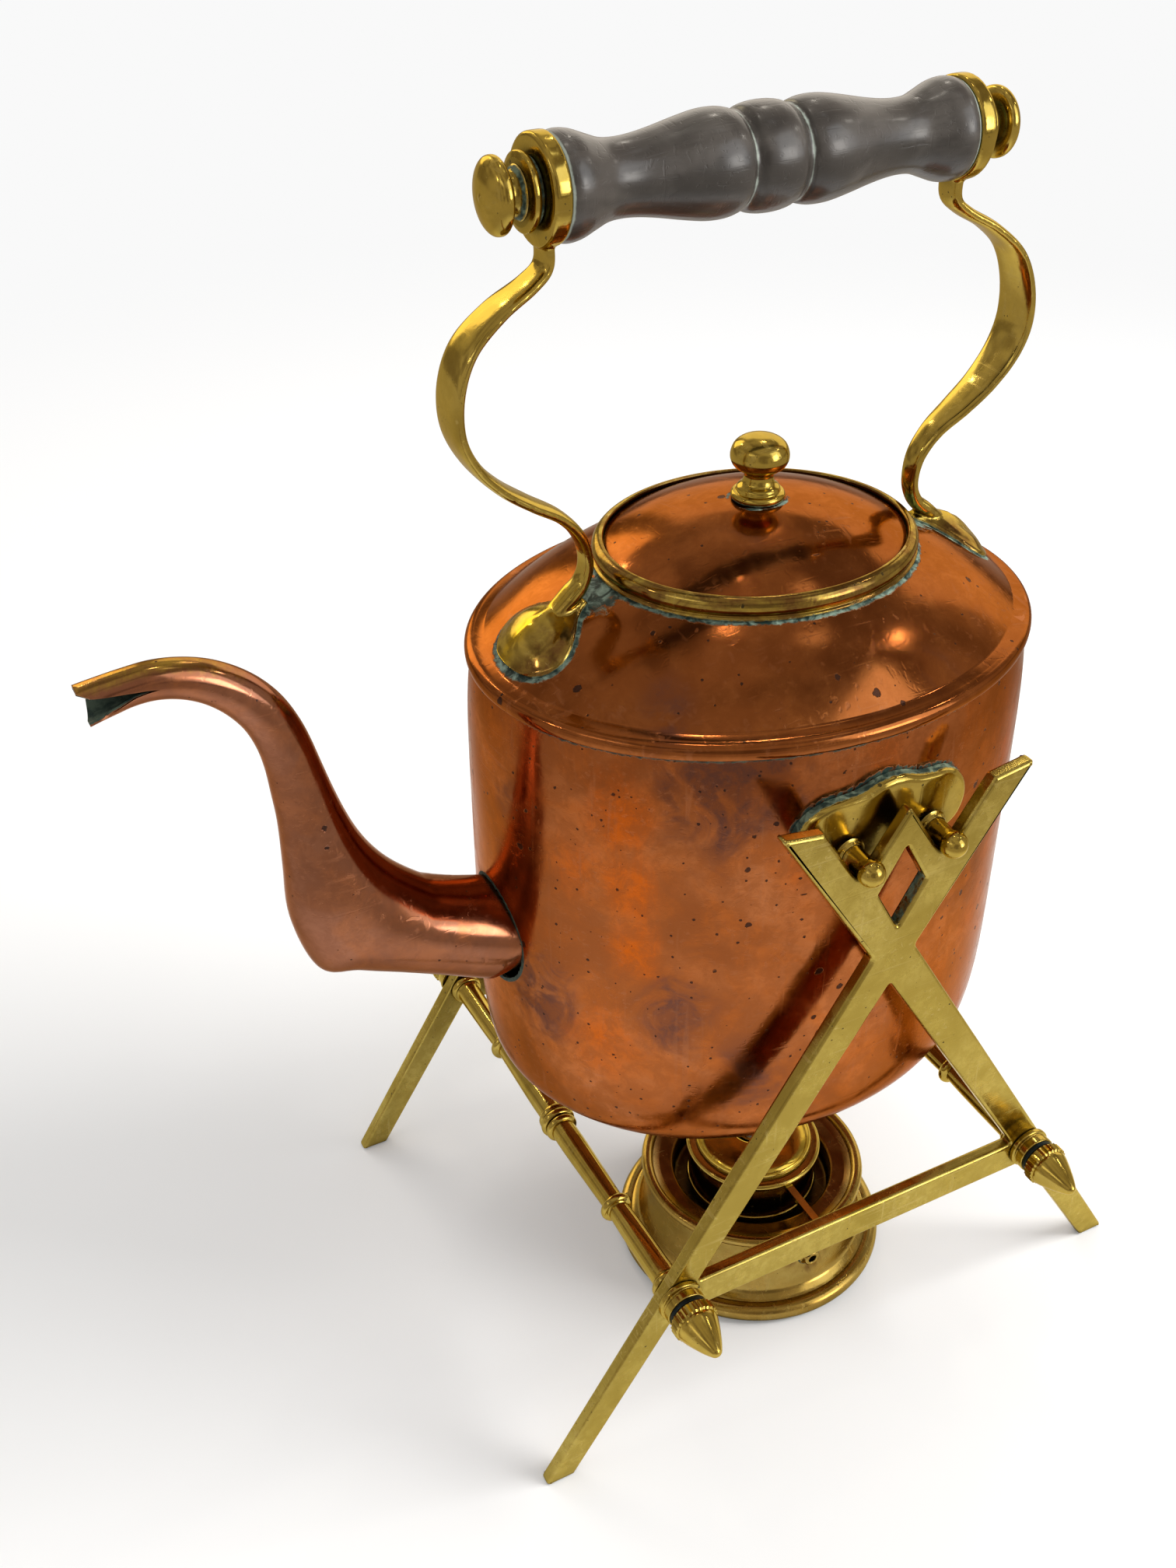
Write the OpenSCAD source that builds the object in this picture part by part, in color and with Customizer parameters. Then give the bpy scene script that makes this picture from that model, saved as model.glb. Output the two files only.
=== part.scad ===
// Copper spirit kettle on a brass trestle stand, with its spirit lamp.
// The origin is on the table under the middle of the whole. The spout points along -X.

/* [Kettle body] */
// Length of the oval body at the shoulder seam
kettle_len = 148; // [120:1:180]
// Width of the oval body at the shoulder seam
kettle_wid = 120.4; // [100:1:150]
// Height of the body from its base to the shoulder seam
body_h = 128; // [105:1:150]
// Thickness of the copper sheet of the walls and shoulder
wall_t = 1.2; // [0.8:0.1:1.8]
// Thickness of the copper sheet of the base
base_t = 1.8; // [1.2:0.1:2.6]
// Radius of the turned-in corner at the base
base_r = 11; // [6:0.5:16]
// Amount by which the sides swell out below the seam
belly = 1.9; // [0:0.1:3]

/* [Shoulder and lid] */
// Rise of the shoulder from the seam to the lid ring
shoulder_h = 21; // [14:0.5:28]
// Length of the oval mouth inside the lid ring
mouth_len = 72.4; // [56:1:84]
// Width of the oval mouth inside the lid ring
mouth_wid = 63.4; // [50:1:74]
// Width of the brass lid ring
ring_w = 5.4; // [4:0.2:8]
// Height of the brass lid ring
ring_h = 5.6; // [4:0.2:8]
// Rise of the lid from its edge to its middle
lid_rise = 9.6; // [5:0.2:14]
// Gap between the lid and its ring
lid_gap = 0.4; // [0.2:0.05:0.8]
// Depth of the skirt under the lid
skirt_h = 5; // [3:0.5:8]
// Diameter of the lid knob
knob_d = 14.4; // [10:0.2:20]

/* [Spout] */
// Reach of the spout from the wall to its tip
spout_reach = 92.4; // [75:0.5:110]
// Rise of the spout from its root to its crest
spout_rise = 98; // [80:0.5:115]
// Height of the root of the spout over the base
spout_root_h = 56; // [44:1:70]
// Thickness of the spout's copper
spout_t = 0.9; // [0.6:0.1:1.4]

/* [Handle] */
// Height of the grip's axis over the shoulder seam
grip_rise = 115.6; // [100:1:135]
// Length of the wooden grip
grip_len = 101.6; // [88:0.2:116]
// Largest diameter of the wooden grip
grip_d = 23.2; // [18:0.2:28]
// Distance by which the grip leans toward the spout from the middle of the body
grip_lean = 4; // [0:0.5:6]
// Diameter of the rod through the grip
grip_rod_d = 6; // [4:0.2:8]
// Diameter of the eye at the top of each bracket
eye_d = 23; // [18:0.2:28]
// Thickness of the eye along the rod
eye_t = 4.2; // [3:0.2:6]
// Largest width of the bracket straps
strap_w = 13; // [9:0.2:16]
// Thickness of the bracket straps
strap_t = 3.2; // [2.2:0.1:4.4]

/* [Trunnions] */
// Distance between the two pins on one side
pin_gap = 23.6; // [19:0.2:28]
// Diameter of the pins where they rest in the notches
pin_d = 5.4; // [4:0.1:7]
// Diameter of the ball at the end of each pin
ball_d = 6.8; // [6:0.1:9]
// Distance of the pins below the shoulder seam
pin_drop = 26.4; // [20:0.2:34]
// Thickness of the lobed trunnion plates
plate_t = 3.4; // [2.4:0.1:5]
// Length of the lobed trunnion plates
plate_len = 49; // [42:1:58]

/* [Stand] */
// Spread of the feet along the kettle
stand_len = 196.4; // [170:1:230]
// Height of the stand to the tips of its arms
stand_h = 197.8; // [175:1:225]
// Thickness of the frames
frame_t = 4; // [3:0.2:6]
// Gap between the trunnion plates and the frames
frame_gap = 2.6; // [1.5:0.1:5]
// Width of each leg at the foot
foot_w = 8.6; // [6.5:0.1:11]
// Width across the tips of the arms
arm_span = 71; // [64:1:84]
// Height of the bottom edge of the crossbar
bar_z = 49.2; // [46:0.2:62]
// Depth of the crossbar
bar_w = 10.1; // [8:0.1:13]
// Clearance round the pins in their notches
notch_gap = 0.3; // [0.2:0.05:0.6]

/* [Stretchers] */
// Diameter of the plain lengths of the stretchers
rod_d = 7.2; // [5.5:0.1:9]
// Diameter of the beads in the middle of the stretchers
bead_d = 10.6; // [8:0.1:13]
// Diameter of the threaded ends through the frames
stud_d = 4.6; // [3.5:0.1:5]
// Length of a finial nut
finial_len = 14.4; // [10:0.2:20]
// Diameter of the milled band round a finial nut
finial_d = 12.8; // [10:0.2:16]

/* [Lamp] */
// Diameter of the lamp across its foot
lamp_d = 81.4; // [66:0.2:90]
// Height of the lamp to its rim
lamp_h = 29.2; // [24:0.2:32]
// Diameter of the lamp at its rim
rim_d = 68; // [58:0.2:76]
// Diameter of the well round the burner
well_d = 48.4; // [44:0.2:54]
// Diameter of the burner's regulator ring
burner_d = 41; // [34:0.2:43]
// Height of the burner over the table
burner_h = 43; // [38:0.2:45]
// Distance of the lamp in front of the middle of the stand
lamp_front = 17; // [0:1:22]
// Diameter of the wick
wick_d = 9; // [6:0.2:12]

/* [Hidden] */

// Colours of the metals and the wood
copper = "#b4643c";
brass = "#b89a3e";
oxide = "#2f3f46";
wood = "#4c4340";
cotton = "#d8cfb8";

// Heights that follow from the sizes above
seat_z = stand_h - 15.3;
seam_z = seat_z + pin_drop;
base_z = seam_z - body_h;
land_z = seam_z + shoulder_h;
ring_z = land_z + ring_h;
grip_z = seam_z + grip_rise;

// Half sizes of the ovals
kettle_a = kettle_len / 2;
kettle_ratio = kettle_wid / kettle_len;
mouth_a = mouth_len / 2;
mouth_ratio = mouth_wid / mouth_len;

// Middle of the whole, from the tip of the beak to the rear feet
beak_lip = 1.2;
middle_x = (stand_len / 2 - kettle_a - spout_reach - beak_lip) / 2;

// Small sizes that are the same everywhere
tiny = 0.01;
seat_gap = 0.1;
rest_gap = 0.3;
run_gap = 0.05;

// Round stretches of a smooth surface
$fn = 64;
oval_sides = 72;

function lerp(a, b, t) = a + (b - a) * t;

// A point on the smooth curve through a list of rows, at k steps to each row
function catmull(a, b, c, d, t) =
    0.5 * (2 * b + (c - a) * t + (2 * a - 5 * b + 4 * c - d) * t * t
           + (3 * b - a - 3 * c + d) * t * t * t);
function smooth_rows(rows, k) =
    let (n = len(rows))
    [for (i = [0 : n - 2], s = [0 : k - 1])
        catmull(rows[max(i - 1, 0)], rows[i], rows[i + 1], rows[min(i + 2, n - 1)], s / k),
     rows[n - 1]];

// Faces of a tube made of rings of the same number of points, closed at both ends
function tube_faces(rings, sides) =
    concat([[for (j = [0 : sides - 1]) j]],
           [for (i = [0 : rings - 2], j = [0 : sides - 1])
               let (a = i * sides + j, b = i * sides + (j + 1) % sides)
               [a, a + sides, b + sides, b]],
           [[for (j = [sides - 1 : -1 : 0]) (rings - 1) * sides + j]]);

// Faces of a ring-shaped skin whose section is a closed list of points
function hoop_faces(sections, sides) =
    [for (i = [0 : sections - 1], j = [0 : sides - 1])
        let (n = (i + 1) % sections, m = (j + 1) % sides)
        [i * sides + j, i * sides + m, n * sides + m, n * sides + j]];

// Puts its children, drawn round the middle of the stand, round the middle of the whole
module placed() {
    translate([-middle_x, 0, 0]) children();
}

// A solid turned on the kettle's axis in four quarters, each drawn in to an oval
module oval_turned(ratio) {
    for (quarter = [0 : 3])
        scale([1, ratio, 1]) rotate(90 * quarter) rotate_extrude(angle = 90) children();
}

// Puts its children at the four ends of the stretchers, with +Z pointing outward
module at_stretcher_ends() {
    for (x = [-rod_x, rod_x], side = [-1, 1])
        translate([x, side * frame_out, rod_z]) rotate([-90 * side, 0, 0]) children();
}

/* Trestle frames */
body_side = kettle_ratio * side_a(0.5);
frame_in = body_side + plate_t + frame_gap;
frame_out = frame_in + frame_t;
foot_x = stand_len / 2;
notch_x = pin_gap / 2;
notch_r = pin_d / 2 + notch_gap;
cross_z = seat_z - 30.3;
cross_half = 6.3;
crotch_z = cross_z - 9.8;
arm_tip = [arm_span / 2, stand_h];
arm_side = [cross_half, cross_z];
arm_dir = (arm_tip - arm_side) / norm(arm_tip - arm_side);
arm_tip_drop = 1.8;
// Where a line through the notch's side, along the arm, reaches a height
function notch_side(s, z) =
    let (p = [notch_x + s * notch_r * arm_dir[1], seat_z - notch_r * arm_dir[0]])
    [p[0] + s * (z - p[1]) * arm_dir[0] / arm_dir[1], z];
notch_low = seat_z - notch_r * arm_dir[0];
peak_z = notch_low + (notch_x - notch_r * arm_dir[1]) * arm_dir[1] / arm_dir[0];
eye_low = cross_z + 8;
eye_high = peak_z - 10.6;
eye_half = 6.8;
// Inner edge of a leg at a height
function leg_in(z) = (foot_x - foot_w) * (1 - z / crotch_z);
function leg_out(z) = lerp(foot_x, cross_half, z / cross_z);
rod_z = bar_z + bar_w / 2 + 2;
rod_x = (leg_in(rod_z) + leg_out(rod_z)) / 2 - 1.3;

module frame_outline() {
    right = [[foot_x, 0], arm_side, arm_tip, notch_side(1, stand_h - arm_tip_drop),
             notch_side(1, notch_low), notch_side(-1, notch_low)];
    left = [for (i = [len(right) - 1 : -1 : 0]) [-right[i][0], right[i][1]]];
    difference() {
        polygon(concat(right, [[0, peak_z]], left,
                       [[-(foot_x - foot_w), 0], [-leg_in(bar_z), bar_z],
                        [leg_in(bar_z), bar_z], [foot_x - foot_w, 0]]));
        polygon([[-leg_in(bar_z + bar_w), bar_z + bar_w], [leg_in(bar_z + bar_w), bar_z + bar_w],
                 [0, crotch_z]]);
        polygon([[0, eye_low], [eye_half, (eye_low + eye_high) / 2], [0, eye_high],
                 [-eye_half, (eye_low + eye_high) / 2]]);
    }
}

module trestle_frame(side) {
    color(brass)
    difference() {
        translate([0, side > 0 ? frame_out : -frame_in, 0])
            rotate([90, 0, 0]) linear_extrude(frame_t) frame_outline();
        for (x = [-notch_x, notch_x])
            translate([x, side * (frame_in + frame_t / 2), seat_z])
                rotate([90, 0, 0]) cylinder(r = notch_r, h = frame_t + 2, center = true);
        for (x = [-rod_x, rod_x])
            translate([x, side * (frame_in + frame_t / 2), rod_z])
                rotate([90, 0, 0]) cylinder(d = stud_d + 2 * run_gap, h = frame_t + 2, center = true);
    }
}
module front_frame() trestle_frame(-1);
module back_frame() trestle_frame(1);

/* Turned stretchers and their finials */
boss_len = 4.6;
boss_d = 11.6;
washer_t = 1.2;
washer_d = 11;
side_bead_y = 0.54;
stud_grip = 3;

// Points of a turned bead: its middle, its width and its outer radius
function bead(at, wide, r) =
    [for (k = [0 : 6]) let (a = -90 + 30 * k)
        [r - wide / 2 + wide / 2 * cos(a), at + wide / 2 * sin(a)]];

// Half of a stretcher, from the middle to the end of its stud
module stretcher_half() {
    bead_r = bead_d / 2;
    bead_w = 2.4;
    rod_r = rod_d / 2;
    neck_r = rod_r * 0.86;
    ring_at = side_bead_y * frame_in;
    collar_w = 2.4;
    middle = [for (p = bead(0, bead_w, bead_r)) if (p[1] > -tiny) p];
    rotate_extrude() polygon(concat(
        [[0, 0]], middle, bead(bead_w, bead_w, bead_r - 0.5),
        [[rod_r, bead_w * 1.5 + 0.2], [neck_r, ring_at - 1.6]],
        bead(ring_at, 2.6, neck_r + 1.6),
        [[neck_r, ring_at + 1.6], [rod_r, frame_in - collar_w - 0.8],
         [rod_r + 0.5, frame_in - collar_w - 0.4]],
        bead(frame_in - collar_w / 2 - seat_gap, collar_w, bead_r - 0.3),
        [[stud_d / 2, frame_in - seat_gap], [stud_d / 2, frame_out + boss_len + washer_t + stud_grip],
         [0, frame_out + boss_len + washer_t + stud_grip]]));
}
module stretcher(x) {
    color(brass)
    translate([x, 0, rod_z])
        for (side = [-1, 1]) rotate([90 * side, 0, 0]) stretcher_half();
}
module spout_side_stretcher() stretcher(-rod_x);
module handle_side_stretcher() stretcher(rod_x);

module stretcher_bosses() {
    color(brass)
    at_stretcher_ends() difference() {
        union() {
            translate([0, 0, seat_gap]) cylinder(d = boss_d + 1, h = 1.5);
            cylinder(d = boss_d - 0.8, h = boss_len);
            translate([0, 0, 2.3]) cylinder(d = boss_d, h = boss_len - 2.3);
        }
        cylinder(d = stud_d + 2 * run_gap, h = 3 * boss_len, center = true);
        translate([0, 0, -boss_d + seat_gap]) cylinder(d = 2 * boss_d, h = boss_d);
    }
}
module finial_washers() {
    color(oxide)
    at_stretcher_ends() translate([0, 0, boss_len]) difference() {
        cylinder(d = washer_d, h = washer_t);
        cylinder(d = stud_d + 2 * run_gap, h = 3 * washer_t, center = true);
    }
}
module finial_nuts() {
    teeth = 28;
    band = 2.6;
    color(brass)
    at_stretcher_ends() translate([0, 0, boss_len + washer_t]) difference() {
        rotate_extrude() polygon([
            [0, 0], [finial_d / 2 - 1, 0], [finial_d / 2 - 0.4, 0.6], [finial_d / 2 - 0.4, 0.8],
            [finial_d / 2, 0.8], [finial_d / 2, 0.8 + band], [finial_d / 2 - 0.7, 1.2 + band],
            [finial_d * 0.44, 2.2 + band], [finial_d * 0.36, finial_len * 0.52],
            [finial_d * 0.24, finial_len * 0.76], [finial_d * 0.13, finial_len * 0.93],
            [finial_d * 0.07, finial_len * 0.985], [0, finial_len]]);
        translate([0, 0, -tiny]) cylinder(d = stud_d + 2 * run_gap, h = stud_grip + seat_gap);
        for (k = [0 : teeth - 1]) rotate(k * 360 / teeth)
            translate([finial_d / 2 + 0.12, 0, 0.8 + band / 2])
                rotate(45) cube([0.6, 0.6, band + 0.2], center = true);
    }
}

/* Kettle body */
// Half length of the body at a share of the wall's height
function side_a(t) = kettle_a - 0.4 + belly * (1 - pow(2 * t - 1, 6));
wall_low = base_z + base_r;
side_steps = 8;
function side_points(inset) =
    [for (i = [0 : side_steps]) let (t = (1 - cos(180 * i / side_steps)) / 2)
        [side_a(t) - inset, lerp(wall_low, seam_z, t)]];
function corner_points(inset) =
    [for (i = [0 : 5]) let (a = 90 * i / 5)
        [side_a(0) - base_r + (base_r - inset) * cos(a), wall_low - (base_r - inset) * sin(a)]];

module kettle_wall() {
    inner = side_points(wall_t);
    color(copper)
    difference() {
        oval_turned(kettle_ratio)
            polygon(concat(side_points(0), [for (i = [side_steps : -1 : 0]) inner[i]]));
        spout_bore();
    }
}
module kettle_base() {
    inner = [for (i = [5 : -1 : 0]) corner_points(base_t)[i]];
    color(copper)
    oval_turned(kettle_ratio)
        polygon(concat(corner_points(0), [[0, base_z], [0, base_z + base_t]], inner));
}

/* Shoulder and lid ring */
shoulder_inset = 2.6;
ring_a = mouth_a + ring_w;
// A row of the shoulder's section between the rim and the land under the ring
function shoulder_row(s, inset) =
    let (rise = s + 0.1 * sin(180 * s))
    [lerp(kettle_a - shoulder_inset, ring_a, s) - inset * 0.5,
     lerp(kettle_a * kettle_ratio - shoulder_inset, ring_a * mouth_ratio, s) - inset * 0.5,
     lerp(seam_z + 4.2, land_z, rise) - inset];
function rim_row(out, up) = [kettle_a + out, kettle_a * kettle_ratio + out, seam_z + up];
slope_steps = 6;
shoulder_rows = concat(
    [rim_row(-wall_t - 0.6, 0), rim_row(0.2, 0), rim_row(1, 0.7), rim_row(1.2, 1.9),
     rim_row(0.9, 3), rim_row(0, 3.9), rim_row(-1.2, 4.3)],
    [for (i = [0 : slope_steps]) shoulder_row(i / slope_steps, 0)],
    [[mouth_a, mouth_a * mouth_ratio, land_z]],
    [for (i = [slope_steps : -1 : 0]) shoulder_row(i / slope_steps, wall_t)]);

module oval_loft(rows) {
    points = [for (r = rows, j = [0 : oval_sides - 1])
        let (a = 360 * j / oval_sides) [r[0] * cos(a), r[1] * sin(a), r[2]]];
    polyhedron(points, hoop_faces(len(rows), oval_sides));
}
module kettle_shoulder() {
    color(copper) oval_loft(shoulder_rows);
}

ledge_w = 2.6;
ledge_t = 1.4;
module lid_ring() {
    a = mouth_a;
    color(brass)
    translate([0, 0, land_z + seat_gap / 2])
    oval_turned(mouth_ratio) polygon([
        [a, 0], [a + ring_w, 0], [a + ring_w + 0.2, 0.8], [a + ring_w - 0.7, 2],
        [a + ring_w - 1.2, ring_h - 1.6], [a + ring_w - 1.3, ring_h - 0.5],
        [a + ring_w - 1.8, ring_h], [a + ledge_w + 0.3, ring_h], [a + ledge_w, ring_h - 0.4],
        [a + ledge_w, ledge_t + 1.6], [a, ledge_t + 1.6]]);
}

/* Lid and its knob */
lid_t = 1.1;
lid_a = mouth_a + ledge_w - lid_gap;
ledge_z = land_z + ledge_t + 1.6 + seat_gap / 2;
lid_low = ledge_z + rest_gap;
lid_top = lid_low + lid_t + lid_rise;
knob_bore = 4;
lid_steps = 9;
function dome_z(x) = lid_rise * (1 - pow(x / lid_a, 2)) * (1 + 0.12 * pow(x / lid_a, 2));

module lid() {
    top = [for (i = [0 : lid_steps]) let (x = lid_a * i / lid_steps) [x, lid_low + lid_t + dome_z(x)]];
    under = [for (i = [lid_steps : -1 : 0]) let (x = lid_a * i / lid_steps) [x, lid_low + dome_z(x)]];
    color(copper)
    difference() {
        oval_turned(mouth_ratio) polygon(concat(top, under));
        cylinder(d = knob_bore + 2 * run_gap, h = 2 * lid_top);
    }
}
module lid_skirt() {
    a = mouth_a - 0.6;
    color(copper)
    oval_turned(mouth_ratio) polygon([
        [a - 1, lid_low - skirt_h], [a, lid_low - skirt_h], [a, lid_low + dome_z(a) - seat_gap],
        [a - 1, lid_low + dome_z(a) - seat_gap]]);
}
module lid_knob() {
    r = knob_d / 2;
    color(brass)
    translate([0, 0, lid_top + seat_gap])
        rotate_extrude() polygon([
            [0, 0], [r * 0.9, 0], [r * 0.93, 0.9], [r * 0.86, 1.7], [r * 0.76, 1.9],
            [r * 0.72, 2.9], [r * 0.56, 4], [r * 0.5, 5.6], [r * 0.54, 6.6], [r * 0.72, 7.5],
            [r * 0.9, 8.6], [r, 10.2], [r * 0.99, 11.8], [r * 0.88, 13.6], [r * 0.66, 14.9],
            [r * 0.36, 15.6], [0, 15.8]]);
    color(brass)
    translate([0, 0, lid_top - 6]) cylinder(d = knob_bore, h = 6 + 2 * seat_gap);
}
module lid_knob_nut() {
    color(brass)
    translate([0, 0, lid_top - lid_t - 3.4]) difference() {
        cylinder(d = 9, h = 2.6, $fn = 6);
        cylinder(d = knob_bore + 2 * run_gap, h = 12, center = true);
    }
}

/* Spout */
spout_z = base_z + spout_root_h;
spout_root_x = kettle_a;
root_r = 13.9;
root_lean = 24;
// Each row: distance out from the wall, height over the root, half depth and half width
// of the section, and the lean of the section's depth from the X axis
spout_shape = [
    [-9, -3.9, 13.9, 13.9, 66], [2, 0.9, 13.7, 13.7, 66], [14.8, 6.4, 12.9, 13, 66],
    [25.4, 11.6, 13, 12.8, 64], [34.5, 16.9, 14.2, 12.6, 61], [40.4, 22.4, 16.4, 12.2, 57],
    [43.6, 30.6, 14, 11.4, 40], [45.4, 39.5, 9.9, 9.9, 20], [46.8, 51.3, 7.8, 8, 8],
    [48.4, 61.1, 6.8, 6.9, 7], [49.8, 69.4, 6.2, 6.3, 12], [51.6, 76.3, 5.9, 5.9, 20],
    [54.3, 82.6, 5.7, 5.6, 31], [57.9, 87.7, 5.5, 5.3, 43], [62.2, 91.8, 5.2, 5, 55],
    [67, 94.9, 4.9, 4.7, 66], [72.2, 96.9, 4.6, 4.5, 76], [77.4, 97.8, 4.4, 4.4, 86],
    [82.6, 97.6, 4.3, 4.4, 95], [87.6, 96.8, 4.6, 4.5, 101], [92.4, 95.8, 5, 4.7, 104]];
shape_reach = 92.4;
shape_rise = 98;
spout_sides = 24;
spout_stub = 1.6;
function spout_ring(row, inset) =
    let (k = max(row[0] - 2, 0) / (shape_reach - 2),
         x = -(spout_root_x + row[0] + k * (spout_reach - shape_reach)),
         z = spout_z + row[1] * (row[1] > 0 ? spout_rise / shape_rise : 1))
    [for (j = [0 : spout_sides - 1])
        let (a = 360 * (j + 0.5) / spout_sides,
             d = (row[2] - inset) * cos(a),
             w = (row[3] - inset) * sin(a))
        [x + d * cos(row[4]), w, z + d * sin(row[4])]];

module spout_skin(rows, inset) {
    points = [for (r = rows) each spout_ring(r, inset)];
    polyhedron(points, tube_faces(len(rows), spout_sides));
}
module spout_bore() {
    translate([-spout_root_x, 0, spout_z]) rotate([0, -90 + root_lean, 0])
        cylinder(r = root_r + 0.15, h = 24, center = true);
}
module spout() {
    rows = smooth_rows(spout_shape, 2);
    first = rows[0];
    last = rows[len(rows) - 1];
    inner = concat([first + (first - rows[1]) * 0.4], rows, [last + (last - rows[len(rows) - 2]) * 0.4]);
    tip_x = -(spout_root_x + spout_reach);
    tip_z = spout_z + spout_rise;
    color(copper)
    difference() {
        spout_skin(rows, 0);
        spout_skin(inner, spout_t);
        // The inside end follows the wall
        translate([0, 0, base_z]) scale([1, kettle_ratio, 1])
            cylinder(r = kettle_a - wall_t - spout_stub, h = body_h);
        // The open beak, cut from both sides
        translate([0, 20, 0]) rotate([90, 0, 0]) linear_extrude(40)
            polygon([[tip_x - 8, tip_z - 6.6], [tip_x - 8, tip_z + 0.2], [tip_x + 1, tip_z - 0.6],
                     [tip_x + 13, tip_z - 2.2], [tip_x + 5, tip_z - 3.6]]);
    }
}

/* Handle */
grip_half = grip_len / 2;
eye_x = grip_half + seat_gap;
collar_t = 3;
collar_d = 16.4;
end_knob_d = 16;
end_knob_len = 8.4;
rod_grip = 5;
// Distance out from the middle, height below the grip's axis, width and thickness
strap_rows = [
    [53, -8, 0.62, 1], [52.8, -15, 0.6, 1], [56.6, -18.8, 0.68, 1], [64.6, -23.4, 0.82, 1],
    [72.1, -30, 0.94, 1], [75.9, -38.6, 1, 1], [76.4, -48, 1, 1], [73.3, -56, 0.95, 1],
    [67.4, -63, 0.86, 1], [60.2, -68.6, 0.76, 1], [53, -73.6, 0.66, 1], [48.3, -79.6, 0.6, 1.05],
    [46.9, -86.4, 0.56, 1.15], [48.4, -91.4, 0.6, 1.3], [51.6, -94.4, 0.66, 1.5],
    [56, -97.2, 0.6, 1.3]];
// Half length of the grip, middle of the pad and fall from axis to pad that the rows are drawn for
strap_half = 50.8;
strap_foot = 58;
strap_drop = 102.2;
strap_sides = 12;

// Puts its children on the grip's axis, a distance from its middle, with +Z along +X
module at_grip(along) {
    translate([along - grip_lean, 0, grip_z]) rotate([0, 90, 0]) children();
}
module strap(side) {
    rows = smooth_rows(strap_rows, 3);
    n = len(rows);
    drop = (grip_z - slope_z(pad_mid)) / strap_drop;
    points = [for (i = [0 : n - 1])
        let (before = rows[max(i - 1, 0)], after = rows[min(i + 1, n - 1)],
             dir = [after[0] - before[0], (after[1] - before[1]) * drop],
             unit = dir / norm(dir), r = rows[i],
             high = sin(90 * max(0, 1 + r[1] / 95)),
             wide = lerp(pad_mid - strap_foot, grip_half - strap_half, high))
        each [for (j = [0 : strap_sides - 1])
            let (a = 360 * (side > 0 ? j : -j) / strap_sides,
                 p = r[3] * strap_t / 2 * cos(a) * (cos(a) < 0 ? 0.75 : 1),
                 w = r[2] * strap_w / 2 * sin(a))
            [side * (r[0] + wide + p * unit[1]) - grip_lean * high,
             w, grip_z + r[1] * drop - p * unit[0]]]];
    polyhedron(points, tube_faces(n, strap_sides));
}
// Slope of the shoulder under the leaf
pad_in = ring_a + 5.4;
pad_out = kettle_a - 5;
pad_mid = (pad_in + pad_out) / 2;
function slope_z(x) =
    let (s = (kettle_a - shoulder_inset - x) / (kettle_a - shoulder_inset - ring_a))
    lerp(seam_z + 4.2, land_z, s + 0.1 * sin(180 * s));
pad_lean = atan2(slope_z(pad_in) - slope_z(pad_out), pad_out - pad_in);
pad_len = 25;
pad_wid = 26;

module leaf_pad(side) {
    translate([side * pad_mid, 0, slope_z(pad_mid) + 0.15])
    mirror([side < 0 ? 1 : 0, 0, 0]) rotate([0, pad_lean, 0])
        intersection() {
            hull() {
                translate([2.6, 0, 0]) scale([0.75, 1, 0.28]) sphere(d = pad_wid, $fn = 28);
                translate([-pad_len / 2 + 3.4, 0, 0.6]) scale([1, 1.05, 0.9]) sphere(r = 3.4, $fn = 20);
            }
            translate([-pad_len, -pad_wid, 0]) cube([2 * pad_len, 2 * pad_wid, pad_wid]);
        }
}
module handle_bracket(side) {
    color(brass)
    difference() {
        union() {
            strap(side);
            leaf_pad(side);
            at_grip(side * (eye_x + eye_t / 2)) {
                cylinder(d = eye_d, h = eye_t - 1.2, center = true);
                cylinder(d = eye_d - 1.4, h = eye_t, center = true);
            }
        }
        at_grip(side * (eye_x + eye_t / 2))
            cylinder(d = grip_rod_d + 2 * run_gap, h = 3 * eye_t, center = true);
        // Keeps the strap clear of the wood and the collar
        for (x = [eye_x - eye_t / 2, eye_x + 1.5 * eye_t])
            at_grip(side * x) cylinder(d = eye_d, h = eye_t, center = true);
    }
}
module spout_side_bracket() handle_bracket(-1);
module rear_bracket() handle_bracket(1);

module wooden_grip() {
    r = grip_d / 2;
    h = grip_half;
    // Distance from the middle and radius, as shares of the half length and half diameter
    shape = [[0, 1], [0.05, 0.99], [0.1, 0.93], [0.125, 0.87], [0.15, 0.87], [0.165, 0.93],
             [0.22, 0.98], [0.3, 0.975], [0.4, 0.9], [0.52, 0.79], [0.62, 0.72], [0.7, 0.7],
             [0.77, 0.73], [0.84, 0.84], [0.9, 0.94], [0.95, 0.975], [1, 0.93]];
    n = len(shape) - 1;
    color(wood)
    at_grip(0) difference() {
        rotate_extrude() polygon(concat(
            [[0, -h]],
            [for (i = [n : -1 : 0]) [r * shape[i][1], -h * shape[i][0]]],
            [for (i = [1 : n]) [r * shape[i][1], h * shape[i][0]]],
            [[0, h]]));
        cylinder(d = grip_rod_d + 2 * run_gap, h = 2 * grip_len, center = true);
    }
}
module grip_rod() {
    reach = eye_x + eye_t + collar_t + rod_grip;
    color(brass)
    at_grip(0) cylinder(d = grip_rod_d, h = 2 * reach, center = true);
}
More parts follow.
